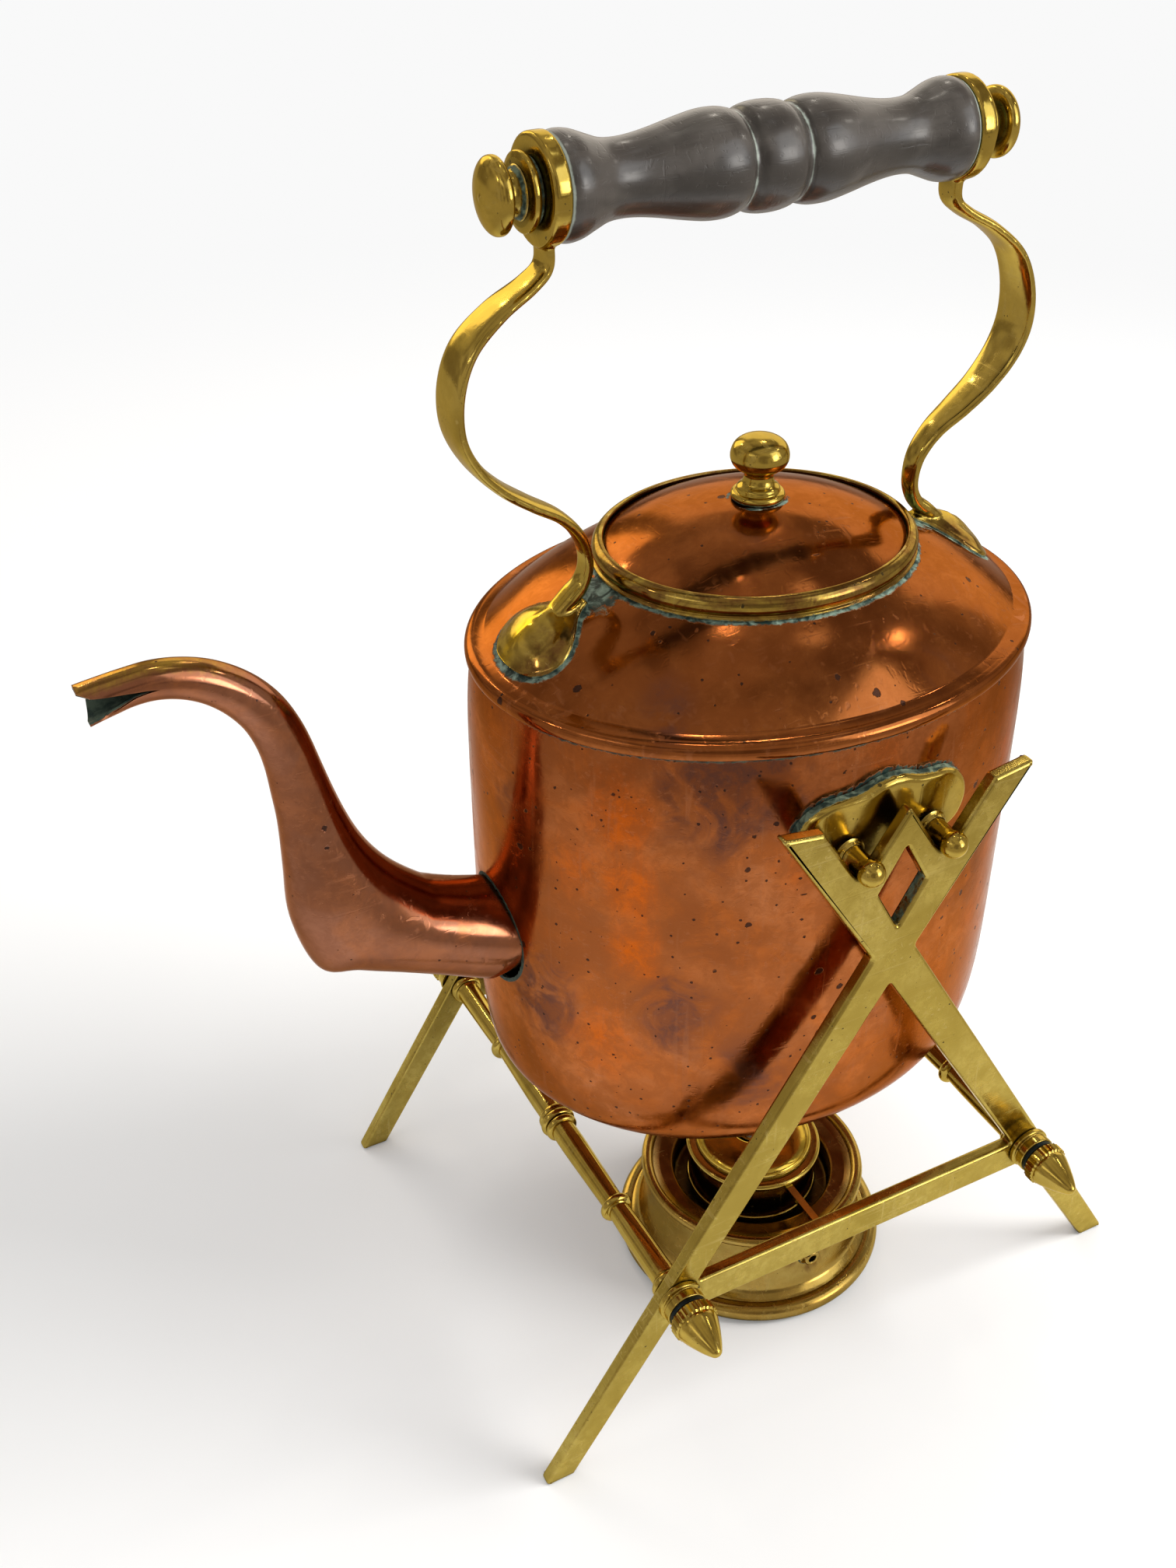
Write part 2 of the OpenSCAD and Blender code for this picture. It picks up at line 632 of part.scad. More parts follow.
// Puts its children outside both eyes, with +Z pointing outward
module at_grip_ends(out) {
    for (side = [-1, 1]) at_grip(side * (eye_x + eye_t + out))
        rotate([0, side < 0 ? 180 : 0, 0]) children();
}
module grip_collars() {
    color(brass)
    at_grip_ends(seat_gap) difference() {
        rotate_extrude() polygon([
            [0, 0], [collar_d / 2 - 1.2, 0], [collar_d / 2 - 1.2, 0.8], [collar_d / 2 - 0.3, 1.1],
            [collar_d / 2, 1.7], [collar_d / 2, 2.5], [collar_d / 2 - 0.5, collar_t - 0.4],
            [collar_d / 2 - 1.4, collar_t], [0, collar_t]]);
        cylinder(d = grip_rod_d + 2 * run_gap, h = 4 * collar_t, center = true);
    }
}
module grip_end_knobs() {
    r = end_knob_d / 2;
    color(brass)
    at_grip_ends(2 * seat_gap + collar_t) difference() {
        rotate_extrude() polygon([
            [0, 0], [r * 0.76, 0], [r * 0.66, 0.7], [r * 0.64, 1.6], [r * 0.74, 2.2], [r * 0.92, 2.8],
            [r, 3.7], [r, 4.5], [r * 0.93, 5.7], [r * 0.78, 6.8], [r * 0.52, 7.8],
            [r * 0.25, end_knob_len - 0.15], [0, end_knob_len]]);
        cylinder(d = grip_rod_d + 2 * run_gap, h = 2 * (rod_grip + seat_gap), center = true);
    }
}

/* Trunnion plates and pins */
// Right half of the lobed outline: share of the half length, and height over the pins
lobe_rows = [[0, 17.3], [0.16, 16.7], [0.34, 15], [0.52, 14.1], [0.68, 13.4], [0.84, 11.3],
             [0.955, 7.8], [1, 4], [0.97, 0.4], [0.88, -2.4], [0.7, -3.7], [0.3, -4], [0, -4]];
module plate_outline() {
    right = smooth_rows(lobe_rows, 2);
    n = len(right) - 1;
    h = plate_len / 2;
    polygon(concat([for (p = right) [h * p[0], p[1]]],
                   [for (i = [n - 1 : -1 : 1]) [-h * right[i][0], right[i][1]]]));
}
module trunnion_plate(side) {
    color(brass)
    difference() {
        intersection() {
            translate([0, side > 0 ? kettle_wid : 0, seat_z]) rotate([90, 0, 0])
                linear_extrude(kettle_wid) plate_outline();
            oval_grown(plate_t);
        }
        oval_grown(seat_gap);
        for (x = [-notch_x, notch_x]) translate([x, 0, seat_z])
            rotate([90, 0, 0]) cylinder(d = pin_d, h = 2 * kettle_wid, center = true);
    }
}
// The body's oval at its widest, grown by a thickness
module oval_grown(grow) {
    a = side_a(0.5) + grow;
    translate([0, 0, seat_z - pin_drop])
        scale([1, (body_side + grow) / a, 1]) cylinder(r = a, h = 2 * pin_drop);
}
module front_trunnion_plate() trunnion_plate(-1);
module back_trunnion_plate() trunnion_plate(1);

module trunnion_pins(side) {
    start = body_side + seat_gap;
    root = start + plate_t;
    ball_y = frame_out + 2.1;
    color(brass)
    for (x = [-notch_x, notch_x])
        translate([x, 0, seat_z]) rotate([-90 * side, 0, 0]) {
            translate([0, 0, start]) cylinder(d = pin_d, h = ball_y - start);
            rotate_extrude() polygon([
                [0, root], [ball_d * 0.62, root], [ball_d * 0.53, root + 0.5],
                [ball_d * 0.48, root + 1.3], [ball_d * 0.5, frame_in - 1], [0, frame_in - 0.4]]);
            translate([0, 0, ball_y]) sphere(d = ball_d);
        }
}
module front_trunnion_pins() trunnion_pins(-1);
module back_trunnion_pins() trunnion_pins(1);

/* Spirit lamp */
lamp_t = 0.9;
foot_bead = 3;
rim_bead = 1.7;
lamp_y = -lamp_front;
cover_z = lamp_h - 2.6;
well_z = lamp_h - 10;
burner_r = burner_d / 2;
ring_low = well_z + 2.6;
ring_top = burner_h - 5.4;

module at_lamp() {
    translate([0, lamp_y, 0]) children();
}
module lamp_shell() {
    foot_r = lamp_d / 2 - foot_bead;
    rim_r = rim_d / 2 - rim_bead;
    // The wall falls from the rim and flares to the foot
    wall = [[rim_r - 0.3, lamp_h - 1.6], [rim_r + 0.4, 20], [rim_r + 1.1, 13], [rim_r + 2, 8.4],
            [foot_r - 0.4, 5]];
    n = len(wall) - 1;
    color(brass)
    at_lamp() {
        rotate_extrude()
            polygon(concat(wall, [for (i = [n : -1 : 0]) [wall[i][0] - lamp_t, wall[i][1] - 0.4]]));
        rotate_extrude() translate([rim_r, lamp_h - rim_bead]) circle(r = rim_bead);
        rotate_extrude() translate([foot_r, foot_bead]) circle(r = foot_bead);
    }
}
module lamp_bottom() {
    color(brass)
    at_lamp() translate([0, 0, 1]) cylinder(r = lamp_d / 2 - 2 * foot_bead - 0.1, h = 1.2);
}
module lamp_cover() {
    rim_r = rim_d / 2 - 2 * rim_bead - 0.1;
    well_r = well_d / 2;
    color(brass)
    at_lamp() rotate_extrude() polygon([
        [rim_r, cover_z + 1], [rim_r - 2, cover_z + 0.2], [well_r + 0.6, cover_z],
        [well_r, cover_z - 0.6], [well_r, well_z], [burner_r * 0.62, well_z],
        [burner_r * 0.62, well_z - lamp_t], [well_r + lamp_t, well_z - lamp_t],
        [well_r + lamp_t, cover_z - lamp_t], [rim_r - 2, cover_z - lamp_t + 0.2],
        [rim_r, cover_z - lamp_t + 1]]);
}
module burner_tube() {
    r = burner_r * 0.86;
    wick_hole = wick_d / 2 + run_gap;
    color(brass)
    at_lamp() rotate_extrude() polygon([
        [wick_hole, 5], [wick_hole + 1, 5], [wick_hole + 1, well_z + 0.2], [r, well_z + 0.2],
        [r, ring_top + 0.6], [r - 1, ring_top + 0.6], [r - 1, well_z + 1.4],
        [wick_hole + 1, well_z + 1.4], [wick_hole + 1, burner_h - 1.4], [wick_hole, burner_h - 1.4]]);
}
module burner_cap() {
    r = burner_r * 0.86;
    mouth = wick_d / 2 + 2.4;
    dome = [for (i = [0 : 6]) let (a = 90 * i / 6)
        [lerp(mouth, r, cos(a)), lerp(ring_top + 0.8, burner_h - 0.6, sin(a))]];
    color(brass)
    at_lamp() rotate_extrude()
        polygon(concat([[mouth, ring_top + 0.8]], dome));
}
module wick() {
    color(cotton)
    at_lamp() translate([0, 0, 4]) cylinder(d = wick_d, h = burner_h - 4);
}
module vent_tube() {
    z = lamp_h * 0.63;
    wall_r = rim_d / 2 - rim_bead + 0.55;
    color(brass)
    at_lamp() translate([0, -wall_r, z]) rotate([90, 0, 0]) difference() {
        union() {
            cylinder(d = 7.4, h = 0.8);
            cylinder(d = 4.8, h = 2.4);
        }
        cylinder(d = 2.6, h = 6, center = true);
    }
}
module regulator_ring() {
    inner = burner_r * 0.86 + run_gap;
    color(brass)
    at_lamp() rotate_extrude() polygon(concat(
        [[inner, ring_low]], bead(ring_low + 0.9, 1.8, burner_r - 0.5),
        [[burner_r - 1.1, ring_low + 1.9], [burner_r - 1.1, ring_top - 2.7]],
        bead(ring_top - 1.3, 2.6, burner_r), [[inner, ring_top]]));
}
module regulator_lever() {
    reach = rim_d / 2 + 7;
    color(brass)
    at_lamp() {
        translate([-1.1, -reach + 3, ring_top - 3.4]) cube([2.2, reach - 3 - burner_r + 0.95, 1.5]);
        translate([0, -reach + 2.6, ring_top - 3.4]) cylinder(d = 6.4, h = 1.5);
    }
}

placed() front_frame();
placed() back_frame();
placed() spout_side_stretcher();
placed() handle_side_stretcher();
placed() stretcher_bosses();
placed() finial_washers();
placed() finial_nuts();
placed() kettle_wall();
placed() kettle_base();
placed() kettle_shoulder();
placed() lid_ring();
placed() spout();
placed() front_trunnion_plate();
placed() back_trunnion_plate();
placed() front_trunnion_pins();
placed() back_trunnion_pins();
placed() spout_side_bracket();
placed() rear_bracket();
placed() wooden_grip();
placed() grip_rod();
placed() grip_collars();
placed() grip_end_knobs();
placed() lid();
placed() lid_skirt();
placed() lid_knob();
placed() lid_knob_nut();
placed() lamp_shell();
placed() lamp_bottom();
placed() lamp_cover();
placed() burner_tube();
placed() burner_cap();
placed() wick();
placed() vent_tube();
placed() regulator_ring();
placed() regulator_lever();
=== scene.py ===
import math

import bmesh
import bpy
from mathutils import Matrix, Vector, noise


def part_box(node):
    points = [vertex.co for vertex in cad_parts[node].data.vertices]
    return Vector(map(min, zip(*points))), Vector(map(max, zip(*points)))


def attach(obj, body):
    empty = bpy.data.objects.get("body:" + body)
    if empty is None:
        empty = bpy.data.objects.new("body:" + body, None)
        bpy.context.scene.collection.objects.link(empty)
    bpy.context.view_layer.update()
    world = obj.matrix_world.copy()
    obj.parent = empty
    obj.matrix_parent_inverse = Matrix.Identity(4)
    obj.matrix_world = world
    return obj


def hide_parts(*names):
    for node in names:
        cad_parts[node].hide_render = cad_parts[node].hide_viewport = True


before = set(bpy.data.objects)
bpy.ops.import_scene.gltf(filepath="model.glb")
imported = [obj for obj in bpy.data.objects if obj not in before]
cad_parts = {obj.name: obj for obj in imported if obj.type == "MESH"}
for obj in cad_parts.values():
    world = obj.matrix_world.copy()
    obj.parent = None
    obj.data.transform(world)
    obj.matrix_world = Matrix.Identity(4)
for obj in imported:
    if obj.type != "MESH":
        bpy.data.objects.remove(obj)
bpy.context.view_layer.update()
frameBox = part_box("front_frame")

# Sizes that several pieces share, in millimetres round the middle of the stand
shared = {
    "shift": (frameBox[0].x + frameBox[1].x) * 500,   # from the stand's middle to the frame's origin
    "baseZ": 80.9,
    "wallLow": 91.9,
    "seamZ": 208.9,
    "landZ": 229.9,
    "seatZ": 182.5,
    "gripZ": 324.5,
    "kettleA": 74.0,
    "kettleRatio": 120.4 / 148,
    "mouthA": 36.2,
    "mouthRatio": 63.4 / 72.4,
    "frameIn": -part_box("front_frame")[1].y * 1000,
    "frameT": 4.0,
    "rodX": 58.0,
    "rodZ": 56.25,
    "lampY": -17.0,
    "notchX": 11.8,
}
print("frame loaded")


# Shapes: each is a list of points in millimetres and a list of faces

def spun(profile, turns=96, ratio=1.0, closed=False, radiusAt=None):   # a profile of (radius, height), turned
    points, faces, rings = [], [], []
    for k, (r, z) in enumerate(profile):
        if r < 0.001:
            rings.append([len(points)] * turns)
            points.append((0.0, 0.0, z))
            continue
        rings.append(list(range(len(points), len(points) + turns)))
        for j in range(turns):
            a = 2 * math.pi * j / turns
            wide = radiusAt(k, a, r) if radiusAt else r
            points.append((wide * math.cos(a), wide * ratio * math.sin(a), z))
    nextRings = rings[1:] + rings[:1] if closed else rings[1:]
    for low, high in zip(rings, nextRings):
        for j in range(turns):
            n = (j + 1) % turns
            corners = list(dict.fromkeys([low[j], low[n], high[n], high[j]]))
            if len(corners) > 2:
                faces.append(corners)
    return points, faces


def ovalLoft(rows, sides=288):   # rows of (half length, half width, height), closed on themselves
    points, faces = [], []
    for a, b, z in rows:
        for j in range(sides):
            t = 2 * math.pi * j / sides
            points.append((a * math.cos(t), b * math.sin(t), z))
    for i in range(len(rows)):
        m = (i + 1) % len(rows)
        for j in range(sides):
            n = (j + 1) % sides
            faces.append([i * sides + j, i * sides + n, m * sides + n, m * sides + j])
    return points, faces


def tube(rings, capped=True):   # rings of points joined in a row
    sides = len(rings[0])
    points = [p for ring in rings for p in ring]
    faces = []
    for i in range(len(rings) - 1):
        for j in range(sides):
            n = (j + 1) % sides
            faces.append([i * sides + j, i * sides + n, (i + 1) * sides + n, (i + 1) * sides + j])
    if capped:
        faces.append(list(range(sides - 1, -1, -1)))
        faces.append([(len(rings) - 1) * sides + j for j in range(sides)])
    return points, faces


def joined(*shapes):   # several shapes as one
    points, faces = [], []
    for p, f in shapes:
        start = len(points)
        points += list(p)
        faces += [[v + start for v in face] for face in f]
    return points, faces


def moved(shape, matrix):
    return [tuple(matrix @ Vector(p)) for p in shape[0]], shape[1]


def smoothRows(rows, k):   # the smooth curve through a list of rows, k steps to each row
    out = []
    for i in range(len(rows) - 1):
        a, b = rows[max(i - 1, 0)], rows[i]
        c, d = rows[i + 1], rows[min(i + 2, len(rows) - 1)]
        for s in range(k):
            t = s / k
            out.append(tuple(0.5 * (2 * q + (r - p) * t + (2 * p - 5 * q + 4 * r - w) * t * t
                                    + (3 * q - p - 3 * r + w) * t ** 3)
                             for p, q, r, w in zip(a, b, c, d)))
    return out + [tuple(rows[-1])]


def roundCorners(points, closed=True, steps=4):   # points of (x, y, corner radius)
    out = []
    for k, point in enumerate(points):
        here = Vector(point[:2])
        radius = point[2] if len(point) > 2 else 0
        if radius <= 0 or (not closed and k in (0, len(points) - 1)):
            out.append(tuple(here))
            continue
        back = Vector(points[k - 1][:2]) - here
        ahead = Vector(points[(k + 1) % len(points)][:2]) - here
        angle = back.angle(ahead)
        if angle > math.radians(177):
            out.append(tuple(here))
            continue
        reach = min(radius / math.tan(angle / 2), 0.48 * back.length, 0.48 * ahead.length)
        a, b = here + back.normalized() * reach, here + ahead.normalized() * reach
        for s in range(steps + 1):
            t = s / steps
            out.append(tuple(a * (1 - t) ** 2 + here * 2 * t * (1 - t) + b * t * t))
    return out


def toFrame(p):   # from millimetres round the stand's middle to metres in the shared frame
    return ((p[0] + shared["shift"]) / 1000, p[1] / 1000, p[2] / 1000)


def fromFrame(p):
    return (p[0] * 1000 - shared["shift"], p[1] * 1000, p[2] * 1000)


def newObject(name, shape):
    mesh = bpy.data.meshes.new(name)
    mesh.from_pydata([toFrame(p) for p in shape[0]], [], shape[1])
    work = bmesh.new()
    work.from_mesh(mesh)
    bmesh.ops.remove_doubles(work, verts=work.verts, dist=2e-6)
    bmesh.ops.recalc_face_normals(work, faces=work.faces)
    work.to_mesh(mesh)
    work.free()
    obj = bpy.data.objects.new(name, mesh)
    bpy.context.scene.collection.objects.link(obj)
    return obj


def bakeModifiers(obj):   # the mesh as its modifiers leave it, with no modifiers left
    seen = obj.evaluated_get(bpy.context.evaluated_depsgraph_get())
    mesh = bpy.data.meshes.new_from_object(seen)
    obj.modifiers.clear()
    old = obj.data
    obj.data = mesh
    bpy.data.meshes.remove(old)
    mesh.name = obj.name


def fuse(obj, voxel, rounds):   # one casting with soft inner corners
    remesh = obj.modifiers.new("oneSkin", "REMESH")
    remesh.mode = "VOXEL"
    remesh.voxel_size = voxel / 1000
    soften = obj.modifiers.new("softCorners", "SMOOTH")
    soften.factor = 0.5
    soften.iterations = rounds
    bakeModifiers(obj)


def keepInside(obj, node):   # no point leaves the box of the node it stands for
    low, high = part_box(node)
    for v in obj.data.vertices:
        v.co = Vector(max(l, min(h, c)) for c, l, h in zip(v.co, low, high))


def finishPiece(obj, body, nodes, finish, crease=40, grime=None, browningAndShade=None, glow=None):
    mesh = obj.data
    mesh.polygons.foreach_set("use_smooth", [True] * len(mesh.polygons))
    mesh.set_sharp_from_angle(angle=math.radians(crease))
    mesh.materials.clear()
    mesh.materials.append(finish)
    for key, worth in (("grime", grime), ("browningAndShade", browningAndShade), ("glow", glow)):
        if worth:
            marks = mesh.attributes.new(key, "FLOAT", "POINT")
            marks.data.foreach_set("value", [worth(*fromFrame(v.co)) for v in mesh.vertices])
    flat = obj.modifiers.new("flatFaces", "WEIGHTED_NORMAL")
    flat.keep_sharp = True
    if len(nodes) == 1:
        keepInside(obj, nodes[0])
    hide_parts(*nodes)
    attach(obj, body)


def addPiece(name, shape, body, nodes, finish, crease=40, grime=None, browningAndShade=None, glow=None):
    finishPiece(newObject(name, shape), body, nodes, finish, crease, grime, browningAndShade, glow)


# Node helpers

def plug(tree, socket, value):
    if isinstance(value, bpy.types.NodeSocket):
        tree.links.new(value, socket)
    elif isinstance(value, tuple) and len(value) == 3 and socket.type == "RGBA":
        socket.default_value = (*value, 1.0)
    else:
        socket.default_value = value


def addNode(tree, kind, settings=None, sockets=None):
    node = tree.nodes.new(kind)
    for key, value in (settings or {}).items():
        setattr(node, key, value)
    for key, value in (sockets or {}).items():
        plug(tree, node.inputs[key], value)
    return node


def mixColour(tree, factor, a, b):
    node = addNode(tree, "ShaderNodeMix", {"data_type": "RGBA"})
    plug(tree, node.inputs[0], factor)
    plug(tree, node.inputs[6], a)
    plug(tree, node.inputs[7], b)
    return node.outputs[2]


def calc(tree, operation, a, b=0.0, clamp=False):
    node = addNode(tree, "ShaderNodeMath", {"operation": operation, "use_clamp": clamp}, {0: a, 1: b})
    return node.outputs[0]


def times(tree, a, b):
    return calc(tree, "MULTIPLY", a, b)


def centred(tree, value):   # noise moved down to swing round 0
    return calc(tree, "SUBTRACT", value, 0.5)


def painted(tree, name):   # a value kept on the points of the mesh
    return addNode(tree, "ShaderNodeAttribute", {"attribute_name": name}).outputs["Fac"]


def bump(tree, height, distance, under=None):   # distance in metres, over the bumps under it
    sockets = {"Height": height, "Strength": 1.0, "Distance": distance}
    if under is not None:
        sockets["Normal"] = under
    return addNode(tree, "ShaderNodeBump", {}, sockets).outputs[0]


def span(tree, value, low, high, toLow=0.0, toHigh=1.0):   # a soft step from one value to the other
    node = addNode(tree, "ShaderNodeMapRange", {"interpolation_type": "SMOOTHSTEP"},
                   {0: value, 1: low, 2: high, 3: toLow, 4: toHigh})
    return node.outputs[0]


def noiseOf(tree, where, scale, detail=3.0, rough=0.5, bend=0.0):
    node = addNode(tree, "ShaderNodeTexNoise", {}, {"Vector": where, "Scale": scale, "Detail": detail,
                                                   "Roughness": rough, "Distortion": bend})
    return node.outputs[0]


def newFinish(look):
    finish = bpy.data.materials.new(look["name"])
    finish.use_nodes = True
    tree = finish.node_tree
    return finish, tree, tree.nodes["Principled BSDF"], addNode(tree, "ShaderNodeTexCoord").outputs["Object"]


def newGroup(name, inputs, outputs):   # inputs of (name, kind, value), outputs of (name, kind)
    group = bpy.data.node_groups.new(name, "ShaderNodeTree")
    for label, kind, value in inputs:
        socket = group.interface.new_socket(name=label, in_out="INPUT", socket_type=kind)
        if value is not None:
            socket.default_value = value
    for label, kind in outputs:
        group.interface.new_socket(name=label, in_out="OUTPUT", socket_type=kind)
    return group, addNode(group, "NodeGroupInput"), addNode(group, "NodeGroupOutput")


def useGroup(tree, group, **sockets):
    node = tree.nodes.new("ShaderNodeGroup")
    node.node_tree = group
    for key, value in sockets.items():
        plug(tree, node.inputs[key], value)
    return node


number, colour, vector = "NodeSocketFloat", "NodeSocketColor", "NodeSocketVector"


# Heat clouds: two sizes of soft patches
cloudDetail = {"closeTimes": 4.3, "broadStep": (0.36, 0.64), "closeStep": (0.38, 0.66)}
cloudGroup, gin, gout = newGroup("heatClouds", [
    ("Where", vector, None), ("Scale", number, 16.0), ("Bend", number, 1.2)],
    [("Broad", number), ("Close", number)])
broad = noiseOf(cloudGroup, gin.outputs["Where"], gin.outputs["Scale"], 3.0, 0.5, gin.outputs["Bend"])
closeScale = times(cloudGroup, gin.outputs["Scale"], cloudDetail["closeTimes"])
close = noiseOf(cloudGroup, gin.outputs["Where"], closeScale, 5.0, 0.6, 0.8)
plug(cloudGroup, gout.inputs["Broad"], span(cloudGroup, broad, *cloudDetail["broadStep"]))
plug(cloudGroup, gout.inputs["Close"], span(cloudGroup, close, *cloudDetail["closeStep"]))

# Small dark pits, in a share of the cells of a scattered grid
pitDetail = {"sizeLeast": 0.35, "sizeSpread": 1.5, "raggedTimes": 5.0, "ragged": 0.2, "rim": 0.03}
speckGroup, gin, gout = newGroup("darkPits", [
    ("Where", vector, None), ("Scale", number, 130.0), ("Share", number, 0.3), ("Size", number, 0.16)],
    [("Mask", number)])
cells = addNode(speckGroup, "ShaderNodeTexVoronoi", {}, {
    "Vector": gin.outputs["Where"], "Scale": gin.outputs["Scale"]})
luck = addNode(speckGroup, "ShaderNodeSeparateColor", {}, {0: cells.outputs["Color"]})
chosen = calc(speckGroup, "LESS_THAN", luck.outputs[0], gin.outputs["Share"])
spread = calc(speckGroup, "ADD", times(speckGroup, luck.outputs[1], pitDetail["sizeSpread"]), pitDetail["sizeLeast"])
reach = times(speckGroup, gin.outputs["Size"], spread)
raggedScale = times(speckGroup, gin.outputs["Scale"], pitDetail["raggedTimes"])
ragged = times(speckGroup, centred(speckGroup, noiseOf(
    speckGroup, gin.outputs["Where"], raggedScale, 2.0)), pitDetail["ragged"])
inside = calc(speckGroup, "SUBTRACT", reach, calc(speckGroup, "ADD", cells.outputs["Distance"], ragged))
plug(speckGroup, gout.inputs["Mask"],
     times(speckGroup, span(speckGroup, inside, 0.0, pitDetail["rim"]), chosen))

# Fine rubbing marks in three directions
rubDetail = {   # how each set of marks is turned and stretched
    "sets": [((0.3, 0.5, 0.2), (1.0, 26.0, 26.0)), ((1.2, 0.1, 1.0), (22.0, 1.2, 22.0)),
             ((0.7, 1.3, 2.2), (18.0, 18.0, 1.0))],
    "thinStep": (0.6, 0.72), "patchScale": 55.0, "patchStep": (0.4, 0.62),
}
scratchGroup, gin, gout = newGroup("rubbingMarks", [
    ("Where", vector, None), ("Scale", number, 60.0)], [("Mask", number), ("Height", number)])
marks = 0.0
for turn, stretch in rubDetail["sets"]:
    turned = addNode(scratchGroup, "ShaderNodeMapping", {}, {
        "Vector": gin.outputs["Where"], "Rotation": turn, "Scale": stretch})
    line = noiseOf(scratchGroup, turned.outputs[0], gin.outputs["Scale"], 2.0, 0.5, 0.3)
    marks = calc(scratchGroup, "MAXIMUM", marks, span(scratchGroup, line, *rubDetail["thinStep"]))
patches = noiseOf(scratchGroup, gin.outputs["Where"], rubDetail["patchScale"], 2.0)
patchy = span(scratchGroup, patches, *rubDetail["patchStep"])
plug(scratchGroup, gout.inputs["Mask"], times(scratchGroup, marks, patchy))
plug(scratchGroup, gout.inputs["Height"], times(scratchGroup, marks, -1.0))

# Green crust where metals meet: the grime painted on the points, broken up by noise
crustDetail = {"grainScale": 520.0, "lumpScale": 330.0, "ragged": 0.9, "edgeStep": (0.36, 0.6),
               "lumpStep": (0.38, 0.68)}
crustGroup, gin, gout = newGroup("greenCrust", [
    ("Where", vector, None), ("Grime", number, 0.0), ("Pale", colour, (0.33, 0.42, 0.37, 1)),
    ("Deep", colour, (0.012, 0.034, 0.030, 1))], [("Mask", number), ("Color", colour), ("Height", number)])
grain = noiseOf(crustGroup, gin.outputs["Where"], crustDetail["grainScale"], 6.0, 0.66, 0.6)
lump = noiseOf(crustGroup, gin.outputs["Where"], crustDetail["lumpScale"], 5.0, 0.62, 0.8)
broken = times(crustGroup, centred(crustGroup, grain), crustDetail["ragged"])
cover = calc(crustGroup, "ADD", gin.outputs["Grime"], broken)
plug(crustGroup, gout.inputs["Mask"], span(crustGroup, cover, *crustDetail["edgeStep"]))
plug(crustGroup, gout.inputs["Color"], mixColour(
    crustGroup, span(crustGroup, lump, *crustDetail["lumpStep"]), gin.outputs["Deep"], gin.outputs["Pale"]))
plug(crustGroup, gout.inputs["Height"], grain)

# Painted shade: a dark colour in the corners that ambient occlusion finds; and bright rubbed edges
cornerShadeDetail = {"samples": 8, "cornerStep": (0.25, 0.85)}
shadeAndWearGroup, gin, gout = newGroup("cornerShadeAndWornEdges", [
    ("Reach", number, 0.004), ("Low", number, 0.52), ("High", number, 0.6)],
    [("CornerShade", number), ("Edge", number)])
shade = addNode(shadeAndWearGroup, "ShaderNodeAmbientOcclusion", {"samples": cornerShadeDetail["samples"]},
                {"Distance": gin.outputs["Reach"]})
plug(shadeAndWearGroup, gout.inputs["CornerShade"], span(shadeAndWearGroup, shade.outputs["AO"], *cornerShadeDetail["cornerStep"], 1.0, 0.0))
form = addNode(shadeAndWearGroup, "ShaderNodeNewGeometry")
plug(shadeAndWearGroup, gout.inputs["Edge"],
     span(shadeAndWearGroup, form.outputs["Pointiness"], gin.outputs["Low"], gin.outputs["High"]))
print("effect groups made")


def jointMask(tree, where, joint):   # a thin ring of crust where a round tube passes through the sheet
    foot, way, radius, wide = joint
    away = addNode(tree, "ShaderNodeVectorMath", {"operation": "SUBTRACT"}, {0: where, 1: foot})
    dot = addNode(tree, "ShaderNodeVectorMath", {"operation": "DOT_PRODUCT"}, {0: away.outputs[0], 1: way})
    along = addNode(tree, "ShaderNodeVectorMath", {"operation": "SCALE"}, {0: way, "Scale": dot.outputs["Value"]})
    side = addNode(tree, "ShaderNodeVectorMath", {"operation": "SUBTRACT"}, {0: away.outputs[0], 1: along.outputs[0]})
    length = addNode(tree, "ShaderNodeVectorMath", {"operation": "LENGTH"}, {0: side.outputs[0]})
    near = span(tree, length.outputs["Value"], radius, radius + wide, 1.0, 0.0)
    ahead = calc(tree, "GREATER_THAN", dot.outputs["Value"], -0.03)
    return times(tree, near, ahead)


metalDetail = {   # what every metal shares: noise scales per metre, shares of a colour, steps of a mask
    "flickerScale": 70.0, "brownFrom": 0.12, "brownTo": 0.9,
    "tongueStretch": (1.0, 1.0, 0.45), "tongueScale": 95.0, "glowShare": 0.75, "tongueShare": 1.5,
    "glowFrom": 0.12, "glowTo": 0.85, "glowTint": 0.85, "veilTimes": 11,
    "fineTimes": 2.7, "fineShare": 1.4, "dashTurn": (0.3, 0.5, 0.9), "dashStretch": (0.22, 1.0, 1.0),
    "dashTimes": 1.3, "dashShare": 0.3, "dashSize": 0.6, "pitTint": 0.85, "pitBare": 0.2,
    "rubDull": 0.12, "cornerDull": 0.15, "crustDull": 0.5, "crustHigh": 0.00012,
}


def heatTintAndPaintedLight(tree, where, look, body):   # browned patches, then streaky tongues of deeper colour; on some pieces the browned mask paints shade and the glow mask paints highlights
    d = metalDetail
    flicker = noiseOf(tree, where, d["flickerScale"], 4.0, 0.6, 1.0)
    darkened = span(tree, times(tree, painted(tree, "browningAndShade"), span(tree, flicker, 0.3, 0.7, 0.3, 1.7)),
                  d["brownFrom"], d["brownTo"])
    body = mixColour(tree, darkened, body, look["burnt"])
    glow = painted(tree, "glow")
    streaky = addNode(tree, "ShaderNodeMapping", {}, {"Vector": where, "Scale": d["tongueStretch"]})
    tongues = centred(tree, noiseOf(tree, streaky.outputs[0], d["tongueScale"], 6.0, 0.68, 1.6))
    swing = calc(tree, "ADD", times(tree, glow, d["tongueShare"]), 0.1)
    glowing = span(tree, calc(tree, "ADD", times(tree, glow, d["glowShare"]), times(tree, tongues, swing)),
                   d["glowFrom"], d["glowTo"])
    return mixColour(tree, times(tree, glowing, d["glowTint"]), body, look["glow"])


